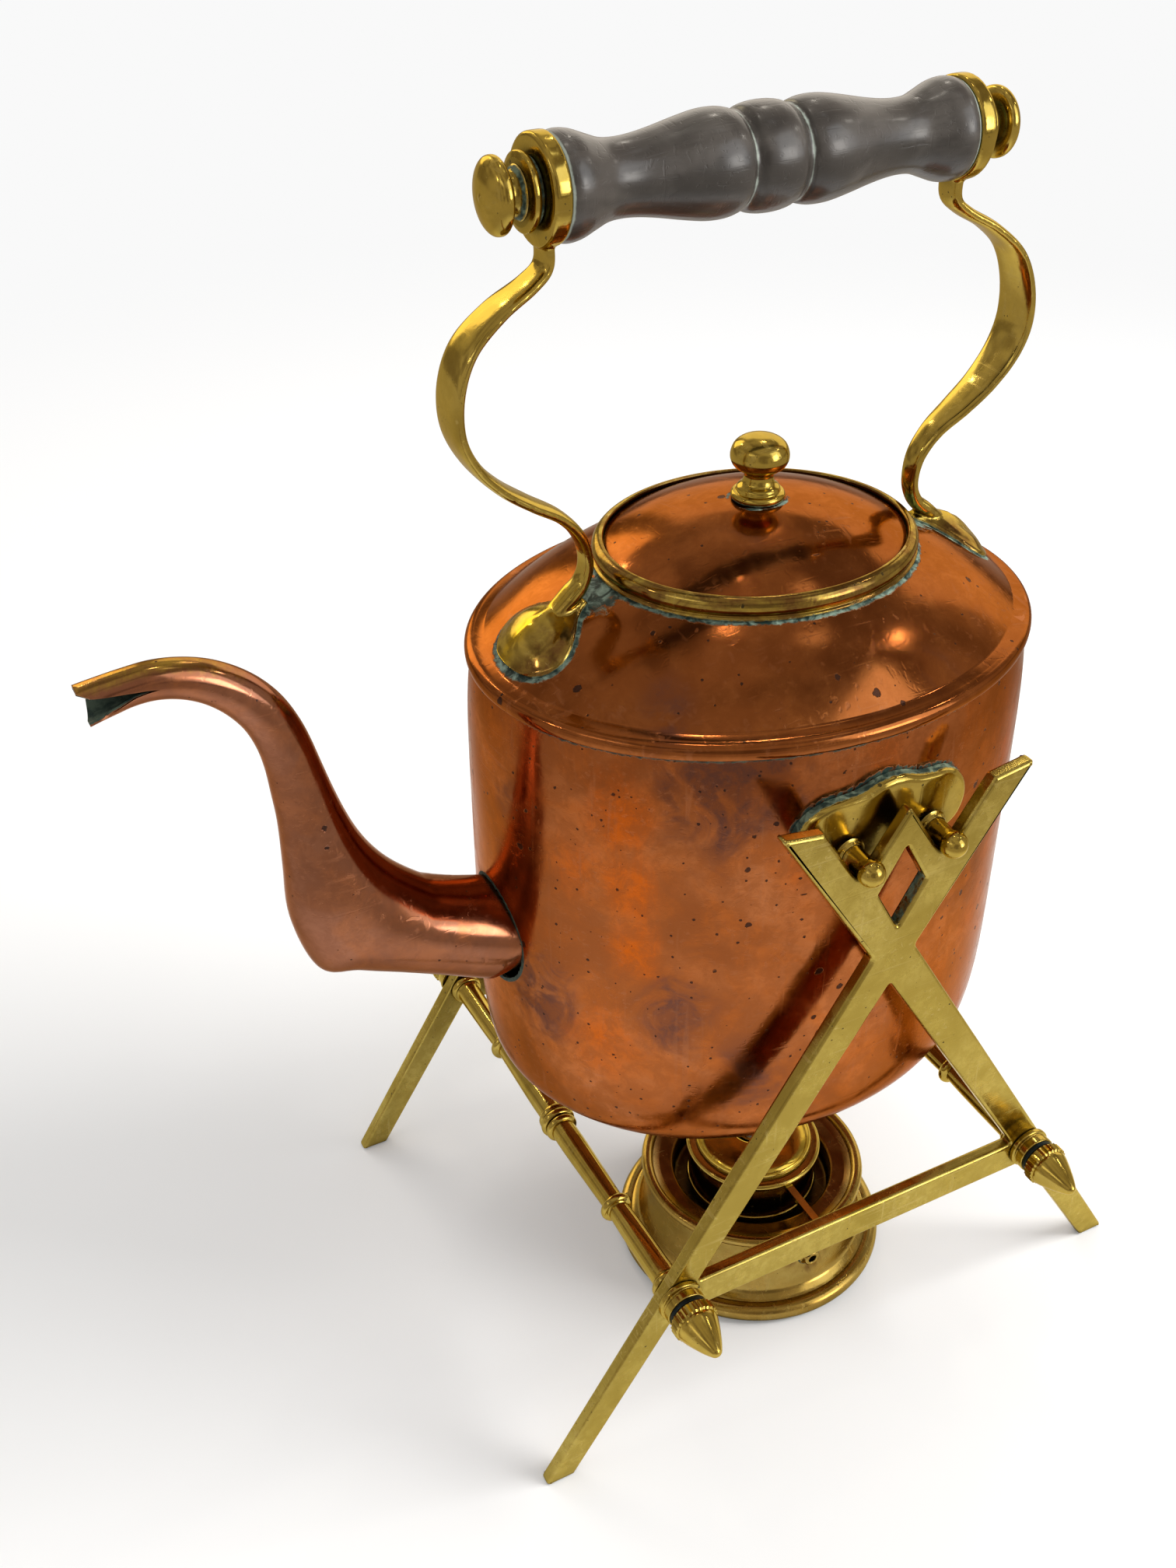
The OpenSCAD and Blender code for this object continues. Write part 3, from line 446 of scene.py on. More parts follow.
def pitMask(tree, where, look):   # round pits in two sizes, and pits drawn out into dashes
    d = metalDetail
    pulled = addNode(tree, "ShaderNodeMapping", {}, {
        "Vector": where, "Rotation": d["dashTurn"], "Scale": d["dashStretch"]}).outputs[0]
    mask = 0.0
    for place, scaled, share, size in ((where, 1, 1, 1), (where, d["fineTimes"], d["fineShare"], 1),
                                       (pulled, d["dashTimes"], d["dashShare"], d["dashSize"])):
        pits = useGroup(tree, speckGroup, Where=place, Scale=look["pitScale"] * scaled,
                        Share=look["pitShare"] * share, Size=look["pitSize"] * size)
        mask = calc(tree, "MAXIMUM", mask, pits.outputs["Mask"])
    return mask


def metalFinish(look):
    d = metalDetail
    finish, tree, shader, where = newFinish(look)
    clouds = useGroup(tree, cloudGroup, Where=where, Scale=look["cloudScale"], Bend=look["cloudBend"])
    body = mixColour(tree, clouds.outputs["Broad"], look["deep"], look["plain"])
    body = mixColour(tree, times(tree, clouds.outputs["Close"], look["warmShare"]), body, look["warm"])
    body = heatTintAndPaintedLight(tree, where, look, body)
    veil = noiseOf(tree, where, look["cloudScale"] * d["veilTimes"], 7.0, 0.75, 0.4)
    body = mixColour(tree, span(tree, veil, 0.4, 0.62, look["veilShare"], 0.0), body, look["deep"])
    shadeAndWear = useGroup(tree, shadeAndWearGroup, Reach=look["cornerReach"])
    # painted shade: the corner colour darkens the corners that ambient occlusion finds
    body = mixColour(tree, times(tree, shadeAndWear.outputs["CornerShade"], look["cornerShare"]), body, look["corner"])
    body = mixColour(tree, times(tree, shadeAndWear.outputs["Edge"], look["edgeShare"]), body, look["edge"])
    rubs = useGroup(tree, scratchGroup, Where=where, Scale=look["rubScale"])
    body = mixColour(tree, times(tree, rubs.outputs["Mask"], look["rubShare"]), body, look["edge"])
    pits = pitMask(tree, where, look)
    body = mixColour(tree, times(tree, pits, d["pitTint"]), body, look["pit"])
    grime = painted(tree, "grime")
    if "joint" in look:
        grime = calc(tree, "MAXIMUM", grime, jointMask(tree, where, look["joint"]))
    crust = useGroup(tree, crustGroup, Where=where, Grime=grime, Pale=(*look["crust"], 1.0))
    plug(tree, shader.inputs["Base Color"], mixColour(tree, crust.outputs["Mask"], body, crust.outputs["Color"]))
    covered = calc(tree, "MAXIMUM", crust.outputs["Mask"], times(tree, pits, d["pitBare"]))
    bare = calc(tree, "SUBTRACT", 1.0, covered)
    plug(tree, shader.inputs["Metallic"], bare)
    shader.inputs["Specular Tint"].default_value = (*look["rimTint"], 1.0)
    dull = calc(tree, "ADD", look["rough"], times(tree, clouds.outputs["Close"], look["roughSpread"]))
    dull = calc(tree, "ADD", dull, times(tree, rubs.outputs["Mask"], d["rubDull"]))
    dull = calc(tree, "ADD", dull, times(tree, shadeAndWear.outputs["CornerShade"], d["cornerDull"]))
    dull = calc(tree, "ADD", dull, times(tree, calc(tree, "SUBTRACT", 1.0, bare), d["crustDull"]), True)
    plug(tree, shader.inputs["Roughness"], dull)
    dents = noiseOf(tree, where, look["dentScale"], 2.0, 0.45, 0.2)
    ripples = noiseOf(tree, where, look["dentScale"] * 4, 2.0, 0.5, 0.4)
    form = bump(tree, dents, look["dentDepth"] / 1000)
    form = bump(tree, ripples, look["dentDepth"] / 8000, form)
    form = bump(tree, rubs.outputs["Height"], look["rubDepth"] / 1000, form)
    rise = calc(tree, "SUBTRACT", times(tree, crust.outputs["Mask"], crust.outputs["Height"]),
                times(tree, pits, look["pitDepth"]))
    plug(tree, shader.inputs["Normal"], bump(tree, rise, d["crustHigh"], form))
    return finish


def variant(look, **changes):   # the same finish with some values changed
    return {**look, **changes}


spoutLean = math.radians(24)   # the spout's root points this far up from level
spoutFoot = Vector((-shared["kettleA"], 0, 136.9))
spoutOut = Vector((-math.cos(spoutLean), 0, math.sin(spoutLean)))
wallLook = {
    "name": "heatTonedCopper",
    "plain": (0.56, 0.185, 0.060), "deep": (0.33, 0.095, 0.026), "warm": (0.60, 0.155, 0.026),
    "burnt": (0.170, 0.066, 0.044), "glow": (0.70, 0.135, 0.008), "corner": (0.045, 0.016, 0.010),
    "edge": (0.62, 0.26, 0.13), "pit": (0.016, 0.011, 0.012), "crust": (0.065, 0.10, 0.072),
    "cloudScale": 17.0, "cloudBend": 1.4, "warmShare": 0.55, "veilShare": 0.55, "rubShare": 0.16,
    "cornerReach": 0.004, "cornerShare": 0.7, "edgeShare": 0.3,
    "pitScale": 150.0, "pitShare": 0.36, "pitSize": 0.10, "pitDepth": 1.0, "rimTint": (0.80, 0.58, 0.46),
    "rough": 0.13, "roughSpread": 0.12, "rubScale": 26.0, "rubDepth": 0.008,
    "dentScale": 24.0, "dentDepth": 0.5,
    "joint": (((spoutFoot.x + shared["shift"]) / 1000, 0.0, spoutFoot.z / 1000), tuple(spoutOut), 0.0139, 0.0009),
}
plainCopper = {key: worth for key, worth in wallLook.items() if key != "joint"}
shoulderLook = variant(plainCopper, name="shoulderCopper", plain=(0.37, 0.115, 0.031), deep=(0.27, 0.078, 0.019),
                       warm=(0.43, 0.142, 0.038), crust=(0.27, 0.37, 0.29), pitShare=0.2, rough=0.12,
                       roughSpread=0.06, dentDepth=0.42)
# The spout's glow colour is a pale brass-yellow: on the top of the beak's bend it paints a highlight.
spoutLook = variant(plainCopper, name="spoutCopper", plain=(0.38, 0.160, 0.092), deep=(0.27, 0.104, 0.056),
                    warm=(0.46, 0.16, 0.06), glow=(0.50, 0.33, 0.055), rough=0.13, roughSpread=0.07,
                    pitShare=0.26, pitSize=0.075, dentScale=34.0, dentDepth=0.25)
brassLook = {
    "name": "polishedBrass",
    "plain": (0.57, 0.415, 0.095), "deep": (0.43, 0.300, 0.058), "warm": (0.65, 0.455, 0.085),
    "burnt": (0.20, 0.10, 0.03), "glow": (0.80, 0.50, 0.02), "corner": (0.050, 0.034, 0.009),
    "edge": (0.78, 0.62, 0.24), "pit": (0.04, 0.028, 0.012), "crust": (0.20, 0.27, 0.19),
    "cloudScale": 26.0, "cloudBend": 1.0, "warmShare": 0.5, "veilShare": 0.35, "rubShare": 0.12,
    "cornerReach": 0.005, "cornerShare": 0.85, "edgeShare": 0.35,
    "pitScale": 330.0, "pitShare": 0.10, "pitSize": 0.10, "pitDepth": 0.2, "rimTint": (0.95, 0.84, 0.55),
    "rough": 0.12, "roughSpread": 0.08, "rubScale": 30.0, "rubDepth": 0.005,
    "dentScale": 60.0, "dentDepth": 0.12,
}
frameLook = variant(brassLook, name="frameBrass", plain=(0.56, 0.43, 0.11), deep=(0.39, 0.28, 0.055),
                    warm=(0.60, 0.455, 0.105), rough=0.15, roughSpread=0.14, veilShare=0.6, rubShare=0.3,
                    dentDepth=0.2, pitShare=0.16, rubDepth=0.008)
# The lamp's brass gets stronger painted shade in its corners, over a wider reach.
lampLook = variant(brassLook, name="lampBrass", plain=(0.46, 0.325, 0.085), deep=(0.33, 0.205, 0.042),
                   warm=(0.50, 0.31, 0.07), rough=0.17, cornerShare=0.95, cornerReach=0.008)
# The lamp's top is darker brass all over: painted shade under the kettle.
coverLook = variant(lampLook, name="shadedLampTop", plain=(0.22, 0.105, 0.030), deep=(0.13, 0.055, 0.014),
                    warm=(0.27, 0.13, 0.035), rough=0.2)
oxideLook = variant(brassLook, name="bluedWasher", plain=(0.035, 0.055, 0.065), deep=(0.018, 0.026, 0.032),
                    warm=(0.06, 0.085, 0.09), corner=(0.008, 0.01, 0.012), edge=(0.16, 0.19, 0.19),
                    rough=0.36, roughSpread=0.2)
wallCopper = metalFinish(wallLook)
shoulderCopper = metalFinish(shoulderLook)
spoutCopper = metalFinish(spoutLook)
brass = metalFinish(brassLook)
frameBrass = metalFinish(frameLook)
lampBrass = metalFinish(lampLook)
coverBrass = metalFinish(coverLook)
oxide = metalFinish(oxideLook)


woodLook = {
    "name": "wornDarkWood",
    "dark": (0.024, 0.020, 0.017), "plain": (0.048, 0.040, 0.034), "worn": (0.095, 0.083, 0.072),
    "dust": (0.36, 0.41, 0.35), "grainStretch": (0.12, 1.0, 1.0), "grainScale": 60.0, "edgeShare": 0.35,
    "dustScale": 300.0, "dustDull": 0.3, "rough": 0.30, "roughSpread": 0.16, "coat": 0.6, "coatRough": 0.2,
    "rubScale": 40.0, "rubDepth": 0.04, "fibreDepth": 0.06,
}


def woodFinish(look):
    finish, tree, shader, where = newFinish(look)
    along = addNode(tree, "ShaderNodeMapping", {}, {"Vector": where, "Scale": look["grainStretch"]})
    fibre = noiseOf(tree, along.outputs[0], look["grainScale"] * 9, 5.0, 0.6, 0.4)
    streak = noiseOf(tree, along.outputs[0], look["grainScale"] * 2.2, 3.0, 0.5, 0.8)
    patch = noiseOf(tree, where, look["grainScale"], 3.0, 0.55, 0.6)
    body = mixColour(tree, span(tree, streak, 0.34, 0.66), look["dark"], look["plain"])
    body = mixColour(tree, span(tree, patch, 0.48, 0.72, 0.0, 0.7), body, look["worn"])
    body = mixColour(tree, span(tree, fibre, 0.5, 0.75, 0.0, 0.45), body, look["dark"])
    shadeAndWear = useGroup(tree, shadeAndWearGroup, Reach=0.003, Low=0.5, High=0.56)
    body = mixColour(tree, times(tree, shadeAndWear.outputs["Edge"], look["edgeShare"]), body, look["worn"])
    crumbs = centred(tree, noiseOf(tree, where, look["dustScale"], 4.0))
    dusty = span(tree, calc(tree, "ADD", painted(tree, "grime"), times(tree, crumbs, 0.7)), 0.4, 0.75)
    plug(tree, shader.inputs["Base Color"], mixColour(tree, dusty, body, look["dust"]))
    dull = calc(tree, "ADD", look["rough"], times(tree, patch, look["roughSpread"]))
    dull = calc(tree, "ADD", dull, times(tree, dusty, look["dustDull"]), True)
    plug(tree, shader.inputs["Roughness"], dull)
    shader.inputs["Coat Weight"].default_value = look["coat"]
    shader.inputs["Coat Roughness"].default_value = look["coatRough"]
    rubs = useGroup(tree, scratchGroup, Where=where, Scale=look["rubScale"])
    form = bump(tree, fibre, look["fibreDepth"] / 1000)
    plug(tree, shader.inputs["Normal"], bump(tree, rubs.outputs["Height"], look["rubDepth"] / 1000, form))
    return finish


cottonLook = {"name": "charredCotton", "clean": (0.62, 0.56, 0.45), "charred": (0.035, 0.028, 0.024),
              "strandScale": 900.0, "fuzzDepth": 0.15, "rough": 0.95}


def cottonFinish(look):
    finish, tree, shader, where = newFinish(look)
    fibres = noiseOf(tree, where, look["strandScale"], 4.0, 0.7, 0.5)
    ragged = times(tree, centred(tree, fibres), 0.6)
    burnt = span(tree, calc(tree, "ADD", painted(tree, "browningAndShade"), ragged), 0.3, 0.8)
    body = mixColour(tree, burnt, look["clean"], look["charred"])
    body = mixColour(tree, span(tree, fibres, 0.35, 0.65, 0.25, 0.0), body, look["charred"])
    plug(tree, shader.inputs["Base Color"], body)
    shader.inputs["Roughness"].default_value = look["rough"]
    plug(tree, shader.inputs["Normal"], bump(tree, fibres, look["fuzzDepth"] / 1000))
    return finish


wood = woodFinish(woodLook)
cotton = cottonFinish(cottonLook)
print("finishes made")


# Trestle frames
frameSizes = {"footX": 98.2, "footW": 8.6, "crossHalf": 6.3, "tipX": 35.5, "tipZ": 197.8, "tipDrop": 1.8,
              "notchR": 3.0, "barZ": 49.2, "barW": 10.1, "eyeHalf": 6.8, "edge": 1.05, "crossDrop": 30.3,
              "crotchDrop": 40.1, "eyeRise": 8, "eyeDrop": 10.6, "studR": 2.35,
              "crust": (7.2, 158, 178, 1.3)}   # half width, bottom, top and half depth of the eye's crust and painted shade


def frameLoops():   # the outline of one frame, and the loops of its openings
    t, seatZ, notchX = frameSizes, shared["seatZ"], shared["notchX"]
    crossZ, crotchZ = seatZ - t["crossDrop"], seatZ - t["crotchDrop"]
    arm = Vector((t["tipX"] - t["crossHalf"], t["tipZ"] - crossZ)).normalized()

    def legIn(z):
        return (t["footX"] - t["footW"]) * (1 - z / crotchZ)

    low = seatZ - t["notchR"] * arm.x
    outer = notchX + t["notchR"] * arm.y
    rimZ = t["tipZ"] - t["tipDrop"]
    right = [(t["footX"], 0, 0.8), (t["crossHalf"], crossZ, 2.5), (t["tipX"], t["tipZ"], 0.7),
             (outer + (rimZ - low) * arm.x / arm.y, rimZ, 0.9)]
    sweep = math.atan2(arm.y, arm.x)
    notch = []   # the notch's round bottom, from its outer side to its inner side
    for k in range(13):
        a = -math.pi / 2 + sweep - 2 * sweep * k / 12
        notch.append((notchX + t["notchR"] * math.cos(a), seatZ + t["notchR"] * math.sin(a)))
    peakZ = low + (notchX - t["notchR"] * arm.y) * arm.y / arm.x
    half = roundCorners([(0, 0), *right, (notch[0][0], notch[0][1])], closed=False)[1:-1] + notch
    left = [(-x, z) for x, z in reversed(half)]
    outline = half + roundCorners([notch[-1], (0, peakZ, 0.8), (-notch[-1][0], notch[-1][1])],
                                  closed=False)[1:-1] + left
    inner = roundCorners([(left[-1][0], 0), (-(t["footX"] - t["footW"]), 0, 0.8),
                          (-legIn(t["barZ"]), t["barZ"], 1.6), (legIn(t["barZ"]), t["barZ"], 1.6),
                          (t["footX"] - t["footW"], 0, 0.8), (half[0][0], 0)], closed=False)[1:-1]
    barTop = t["barZ"] + t["barW"]
    opening = roundCorners([(-legIn(barTop), barTop, 0.9), (legIn(barTop), barTop, 0.9), (0, crotchZ, 0.9)])
    eyeLow, eyeHigh = crossZ + t["eyeRise"], peakZ - t["eyeDrop"]
    middle = (eyeLow + eyeHigh) / 2
    eye = roundCorners([(0, eyeLow, 0.6), (t["eyeHalf"], middle, 0.8), (0, eyeHigh, 0.6),
                        (-t["eyeHalf"], middle, 0.8)])
    turn = [k * math.pi / 12 for k in range(24)]
    studs = [[(side * shared["rodX"] + t["studR"] * math.cos(a), shared["rodZ"] + t["studR"] * math.sin(a))
              for a in turn] for side in (-1, 1)]
    return [outline + inner, opening, eye, *studs]


def roundedPlate(name, loops, thick, edge):   # a flat plate with filed, rounded edges
    curve = bpy.data.curves.new(name, "CURVE")
    curve.dimensions, curve.fill_mode = "2D", "BOTH"
    curve.extrude = (thick / 2 - edge) / 1000
    curve.bevel_depth, curve.bevel_resolution, curve.offset = edge / 1000, 4, -edge / 1000
    for loop in loops:
        spline = curve.splines.new("POLY")
        spline.points.add(len(loop) - 1)
        spline.use_cyclic_u = True
        for point, (x, z) in zip(spline.points, loop):
            point.co = (x / 1000, z / 1000, 0, 1)
    holder = bpy.data.objects.new(name, curve)
    bpy.context.scene.collection.objects.link(holder)
    mesh = bpy.data.meshes.new_from_object(holder.evaluated_get(bpy.context.evaluated_depsgraph_get()))
    points = [(v.co.x * 1000, v.co.y * 1000, v.co.z * 1000) for v in mesh.vertices]
    faces = [list(p.vertices) for p in mesh.polygons]
    bpy.data.objects.remove(holder)
    bpy.data.curves.remove(curve)
    bpy.data.meshes.remove(mesh)
    return points, faces


frameMiddle = shared["frameIn"] + shared["frameT"] / 2


def eyeShadeAndCrust(x, y, z):   # crust inside the diamond-shaped eye; the same mask, doubled, browns it dark as painted shade
    half, low, high, deep = frameSizes["crust"]
    return 0.5 if abs(x) < half and low < z < high and abs(abs(y) - frameMiddle) < deep else 0.0


for side, node in ((-1, "front_frame"), (1, "back_frame")):
    plate = roundedPlate("plate", frameLoops(), shared["frameT"], frameSizes["edge"])
    upright = Matrix.Translation((0, side * frameMiddle, 0)) @ Matrix.Rotation(math.radians(90), 4, "X")
    # The eye's inner faces get crust, and painted shade through the browned colour.
    addPiece(node.replace("_f", "F"), moved(plate, upright), "stand", [node], frameBrass, crease=50,
             grime=eyeShadeAndCrust, browningAndShade=lambda x, y, z: 1.9 * eyeShadeAndCrust(x, y, z))
print("frames made")


# Turned stretchers, bosses, washers and finial nuts
turnedSizes = {"rodR": 3.6, "beadR": 5.3, "studR": 2.3, "teeth": 28, "toothDeep": 0.42}


def beadOf(at, wide, r, count=9):   # a half-round bead of radius r on a turned profile
    return [(r - wide / 2 + wide / 2 * math.cos(math.radians(-90 + 180 * k / (count - 1))),
             at + wide / 2 * math.sin(math.radians(-90 + 180 * k / (count - 1)))) for k in range(count)]


def stretcherProfile():
    rod, bead = turnedSizes["rodR"], turnedSizes["beadR"]
    neck = rod * 0.86
    frameIn = shared["frameIn"]
    ringAt = 0.54 * frameIn
    half = [p for p in beadOf(0, 2.4, bead) if p[1] > 0.01]
    half += beadOf(2.4, 2.4, bead - 0.5)
    half += smoothRows([(rod, 3.8), (rod + 0.02, 12), (rod * 0.93, 24), (neck, ringAt - 1.6)], 5)
    half += beadOf(ringAt, 2.6, neck + 1.6)
    half += smoothRows([(neck, ringAt + 1.6), (rod * 0.94, ringAt + 10), (rod, frameIn - 3.4)], 5)
    half += [(rod + 0.5, frameIn - 2.9)]
    half += beadOf(frameIn - 1.3, 2.4, bead - 0.3)
    half += [(turnedSizes["studR"], frameIn - 0.1), (turnedSizes["studR"], frameIn + 12.7), (0, frameIn + 12.7)]
    return [(r, -y) for r, y in reversed(half)] + [(bead, 0.0)] + half


for side, node in ((-1, "spout_side_stretcher"), (1, "handle_side_stretcher")):
    lay = Matrix.Translation((side * shared["rodX"], 0, shared["rodZ"])) @ Matrix.Rotation(
        math.radians(90), 4, "X")
    addPiece("stretcher" + ("Spout" if side < 0 else "Handle"),
             moved(spun(stretcherProfile(), 72), lay), "stand", [node], brass)


def atStretcherEnds(shape):   # the four copies outside the frames
    copies = []
    for x in (-shared["rodX"], shared["rodX"]):
        for side in (-1, 1):
            out = Matrix.Translation((x, side * (shared["frameIn"] + shared["frameT"]), shared["rodZ"]))
            copies.append(moved(shape, out @ Matrix.Rotation(math.radians(-90 * side), 4, "X")))
    return joined(*copies)


bossRing = roundCorners([(2.4, 0.1), (6.3, 0.1, 0.3), (6.3, 1.4, 0.4), (5.5, 1.7, 0.2), (5.45, 2.2, 0.2),
                         (5.8, 2.5, 0.3), (5.8, 4.6, 0.4), (2.4, 4.6)])
addPiece("bosses", atStretcherEnds(spun(bossRing, 64, closed=True)), "stand", ["stretcher_bosses"], brass)
washerRing = roundCorners([(2.4, 4.6), (5.5, 4.6, 0.25), (5.5, 5.8, 0.25), (2.4, 5.8)])
addPiece("washers", atStretcherEnds(spun(washerRing, 64, closed=True)), "stand", ["finial_washers"], oxide)


def finialNut():
    start, r, length, band = 5.8, 6.4, 14.4, 2.6
    skirt = roundCorners([(2.4, 0), (r - 1, 0, 0.3), (r - 0.4, 0.7, 0.2)], closed=False)
    knurl = [(r, 0.8), (r, 1.3), (r, 2.1), (r, 2.9), (r, 0.8 + band)]
    cone = smoothRows([(r - 0.7, 3.8), (r * 0.88, 4.8), (r * 0.72, 7.5), (r * 0.48, 10.9),
                       (r * 0.26, 13.4), (r * 0.17, 14.0), (r * 0.08, 14.3), (0.0, length)], 4)
    profile = skirt + knurl + cone
    first, last = len(skirt), len(skirt) + len(knurl)

    def toothed(k, a, wide):
        if first <= k < last:
            return wide - turnedSizes["toothDeep"] * abs((a * turnedSizes["teeth"] / (2 * math.pi)) % 1 - 0.5) * 2
        return wide

    return spun([(a, z + start) for a, z in profile], turnedSizes["teeth"] * 6, radiusAt=toothed)


addPiece("finials", atStretcherEnds(finialNut()), "stand", ["finial_nuts"], brass, crease=32)
print("stretchers made")


# Kettle body: wall and base raised from one sheet, with the spout's hole
bodySizes = {"belly": 1.9, "cornerR": 11.0, "wallT": 1.2, "baseT": 1.8, "rows": 120, "sides": 520,
             "flatRows": 15, "cornerRows": 12, "easeTurns": 10, "easeRows": (19, 44),
             "holeR": 13.4, "holeSide": -40}   # the hole is cut only on this side of the kettle


def sideAt(t):   # half length of the wall, from its foot at 0 to the seam at 1
    return shared["kettleA"] - 0.4 + bodySizes["belly"] * (1 - (2 * t - 1) ** 6)


def bodyProfile(inset, floorInset):   # from the middle of the base up to the seam
    low, high, baseZ = shared["wallLow"], shared["seamZ"], shared["baseZ"]
    r, foot = bodySizes["cornerR"], sideAt(0)
    flat, corner = bodySizes["flatRows"], bodySizes["cornerRows"]
    rows = [((foot - r) * k / (flat - 1), baseZ + floorInset) for k in range(flat)]
    for k in range(1, corner + 1):
        a = math.pi / 2 * k / corner
        deep = r - (inset if k > corner / 2 else floorInset)
        rows.append((foot - r + (r - inset) * math.sin(a), low - deep * math.cos(a)))
    for k in range(1, bodySizes["rows"] + 1):
        t = k / bodySizes["rows"]
        rows.append((sideAt(t) - inset, low + (high - low) * t))
    for turn in range(bodySizes["easeTurns"]):   # eases the corner into the side
        for k in range(*bodySizes["easeRows"]):
            a, b = rows[k - 1], rows[k + 1]
            rows[k] = ((a[0] + b[0] + 2 * rows[k][0]) / 4, (a[1] + b[1] + 2 * rows[k][1]) / 4)
    return rows


def fromSpoutAxis(p):   # the shortest way from the axis of the spout's root to a point
    away = Vector(p) - spoutFoot
    return away - spoutOut * away.dot(spoutOut)


def bodyShape():
    outer = bodyProfile(0.0, 0.0)
    inner = bodyProfile(bodySizes["wallT"], bodySizes["baseT"])
    inner = inner[:27:2] + inner[27:-1:5] + inner[-1:]
    profile = outer + list(reversed(inner))
    points, faces = spun(profile, bodySizes["sides"], shared["kettleRatio"])
    work = bmesh.new()
    verts = [work.verts.new(p) for p in points]
    for face in faces:
        work.faces.new([verts[k] for k in face])
    bmesh.ops.remove_doubles(work, verts=work.verts, dist=0.002)
    hole = bodySizes["holeR"]
    gone = [f for f in work.faces if f.calc_center_median().x < bodySizes["holeSide"]
            and fromSpoutAxis(f.calc_center_median()).length < hole]
    bmesh.ops.delete(work, geom=gone, context="FACES")
    rims = [e for e in work.edges if e.is_boundary]
    for v in {v for e in rims for v in e.verts}:   # the ragged rims are drawn onto the round hole
        away = fromSpoutAxis(v.co)
        v.co = v.co - away + away.normalized() * hole
    bmesh.ops.bridge_loops(work, edges=rims)
    points = [tuple(v.co) for v in work.verts]
    work.verts.index_update()
    faces = [[v.index for v in f.verts] for f in work.faces]
    work.free()
    return points, faces


def near(value, at, wide):   # 1 at a value, falling to 0 at a distance
    return max(0.0, 1 - abs(value - at) / wide)


heatSpots = [   # angle round the body from the spout, height, size and strength of each darker patch
    (-15.5, 128, 10, 1.0), (-45.7, 132, 9, 1.0), (-52, 202, 15, 0.9), (-64, 203, 11, 0.7), (-9, 163, 7, 0.7),
    (-7, 186, 6, 0.45), (24, 150, 11, 0.7), (-61, 110, 12, 0.6), (-95, 128, 9, 0.4), (-120, 160, 16, 0.6),
    (-150, 118, 14, 0.55), (70, 120, 18, 0.7), (110, 170, 17, 0.6), (150, 130, 16, 0.6), (180, 165, 15, 0.5),
]
glowSpots = [   # where the copper has turned a deeper orange
    (-33, 192, 9, 1.0), (-36, 172, 8, 1.0), (-37, 152, 8, 0.9), (-24, 176, 9, 0.6), (-12, 150, 8, 0.6),
    (-70, 180, 10, 0.5), (-30, 120, 12, 0.6), (-90, 200, 12, 0.5), (40, 180, 14, 0.8), (90, 140, 14, 0.8),
    (130, 190, 14, 0.7), (165, 120, 14, 0.8), (-140, 185, 14, 0.8),
]


def spotSum(spots, x, y, z):
    angle = math.degrees(math.atan2(y, -x))   # 0 at the spout, and less than 0 toward the camera's side
    worth = 0.0
    for at, high, size, power in spots:
        off = ((angle - at + 180) % 360 - 180) * 1.15
        worth = max(worth, power * math.exp(-((off / size) ** 2 + ((z - high) / (1.5 * size)) ** 2)))
    return worth


def bodyHeat(x, y, z):
    under = max(0.0, min(1.0, (shared["baseZ"] + 3.6 - z) / 4))   # the lamp has browned the base
    return max(spotSum(heatSpots, x, y, z), 0.95 * under)


def bodyGrime(x, y, z):
    seam = 0.8 * max(0.0, min(1.0, (z - shared["seamZ"] + 1.5) / 1.2))
    plate = 0.95 * max(0.0, 1 - max(0.0, plateDistance(x, z)) / 1.4) if abs(y) > 40 else 0.0
    return max(seam, plate)


# Lobed plates and their pins
plateSizes = {"half": 24.5, "thick": 3.4, "bull": 1.9, "rows": [
    (0, 17.3), (0.16, 16.7), (0.34, 15), (0.52, 14.1), (0.68, 13.4), (0.84, 11.3), (0.955, 7.8), (1, 4),
    (0.97, 0.4), (0.88, -2.4), (0.7, -3.7), (0.3, -4), (0, -4)]}


def plateOutline():
    right = [(plateSizes["half"] * x, z) for x, z in smoothRows(plateSizes["rows"], 6)]
    return right + [(-x, z) for x, z in reversed(right[1:-1])]


outlineOfPlate = plateOutline()


def plateDistance(x, z):   # how far a point of the wall lies outside the plate's outline
    here = Vector((x, z - shared["seatZ"]))
    if here.length > 40:
        return 99.0
    best = min((here - Vector(p)).length for p in outlineOfPlate[::2])
    inside = here.length < 3.5 or (here - Vector((0, 6))).length < 8
    return -best if inside else best


def wallY(x, grow):
    a, b = sideAt(0.5) + grow, sideAt(0.5) * shared["kettleRatio"] + grow
    return b * math.sqrt(max(0.0, 1 - (x / a) ** 2))


def plateShape(side):
    thick, bull = plateSizes["thick"], plateSizes["bull"]
    centre = Vector((0, 6))
    levels = [(0.0, 0.12), (0.0, thick - bull)]
    levels += [(bull * (1 - math.cos(a)), thick - bull + bull * math.sin(a))
               for a in [math.pi / 2 * k / 7 for k in range(1, 8)]]
    rings = []
    for inset, lift in levels:
        rings.append([(Vector(p) + (centre - Vector(p)).normalized() * inset, lift) for p in outlineOfPlate])
    top = rings[-1]
    for share in (0.82, 0.64, 0.46, 0.28, 0.12):
        sag = 0.35 * math.sin(math.pi * share)   # the middle is a little hollow
        rings.append([(centre + (p - centre) * share, lift - sag * 0.5) for p, lift in top])
    solid = []
    for ring in rings:
        solid.append([(p.x, side * wallY(p.x, lift), shared["seatZ"] + p.y) for p, lift in ring])
    return tube(solid)


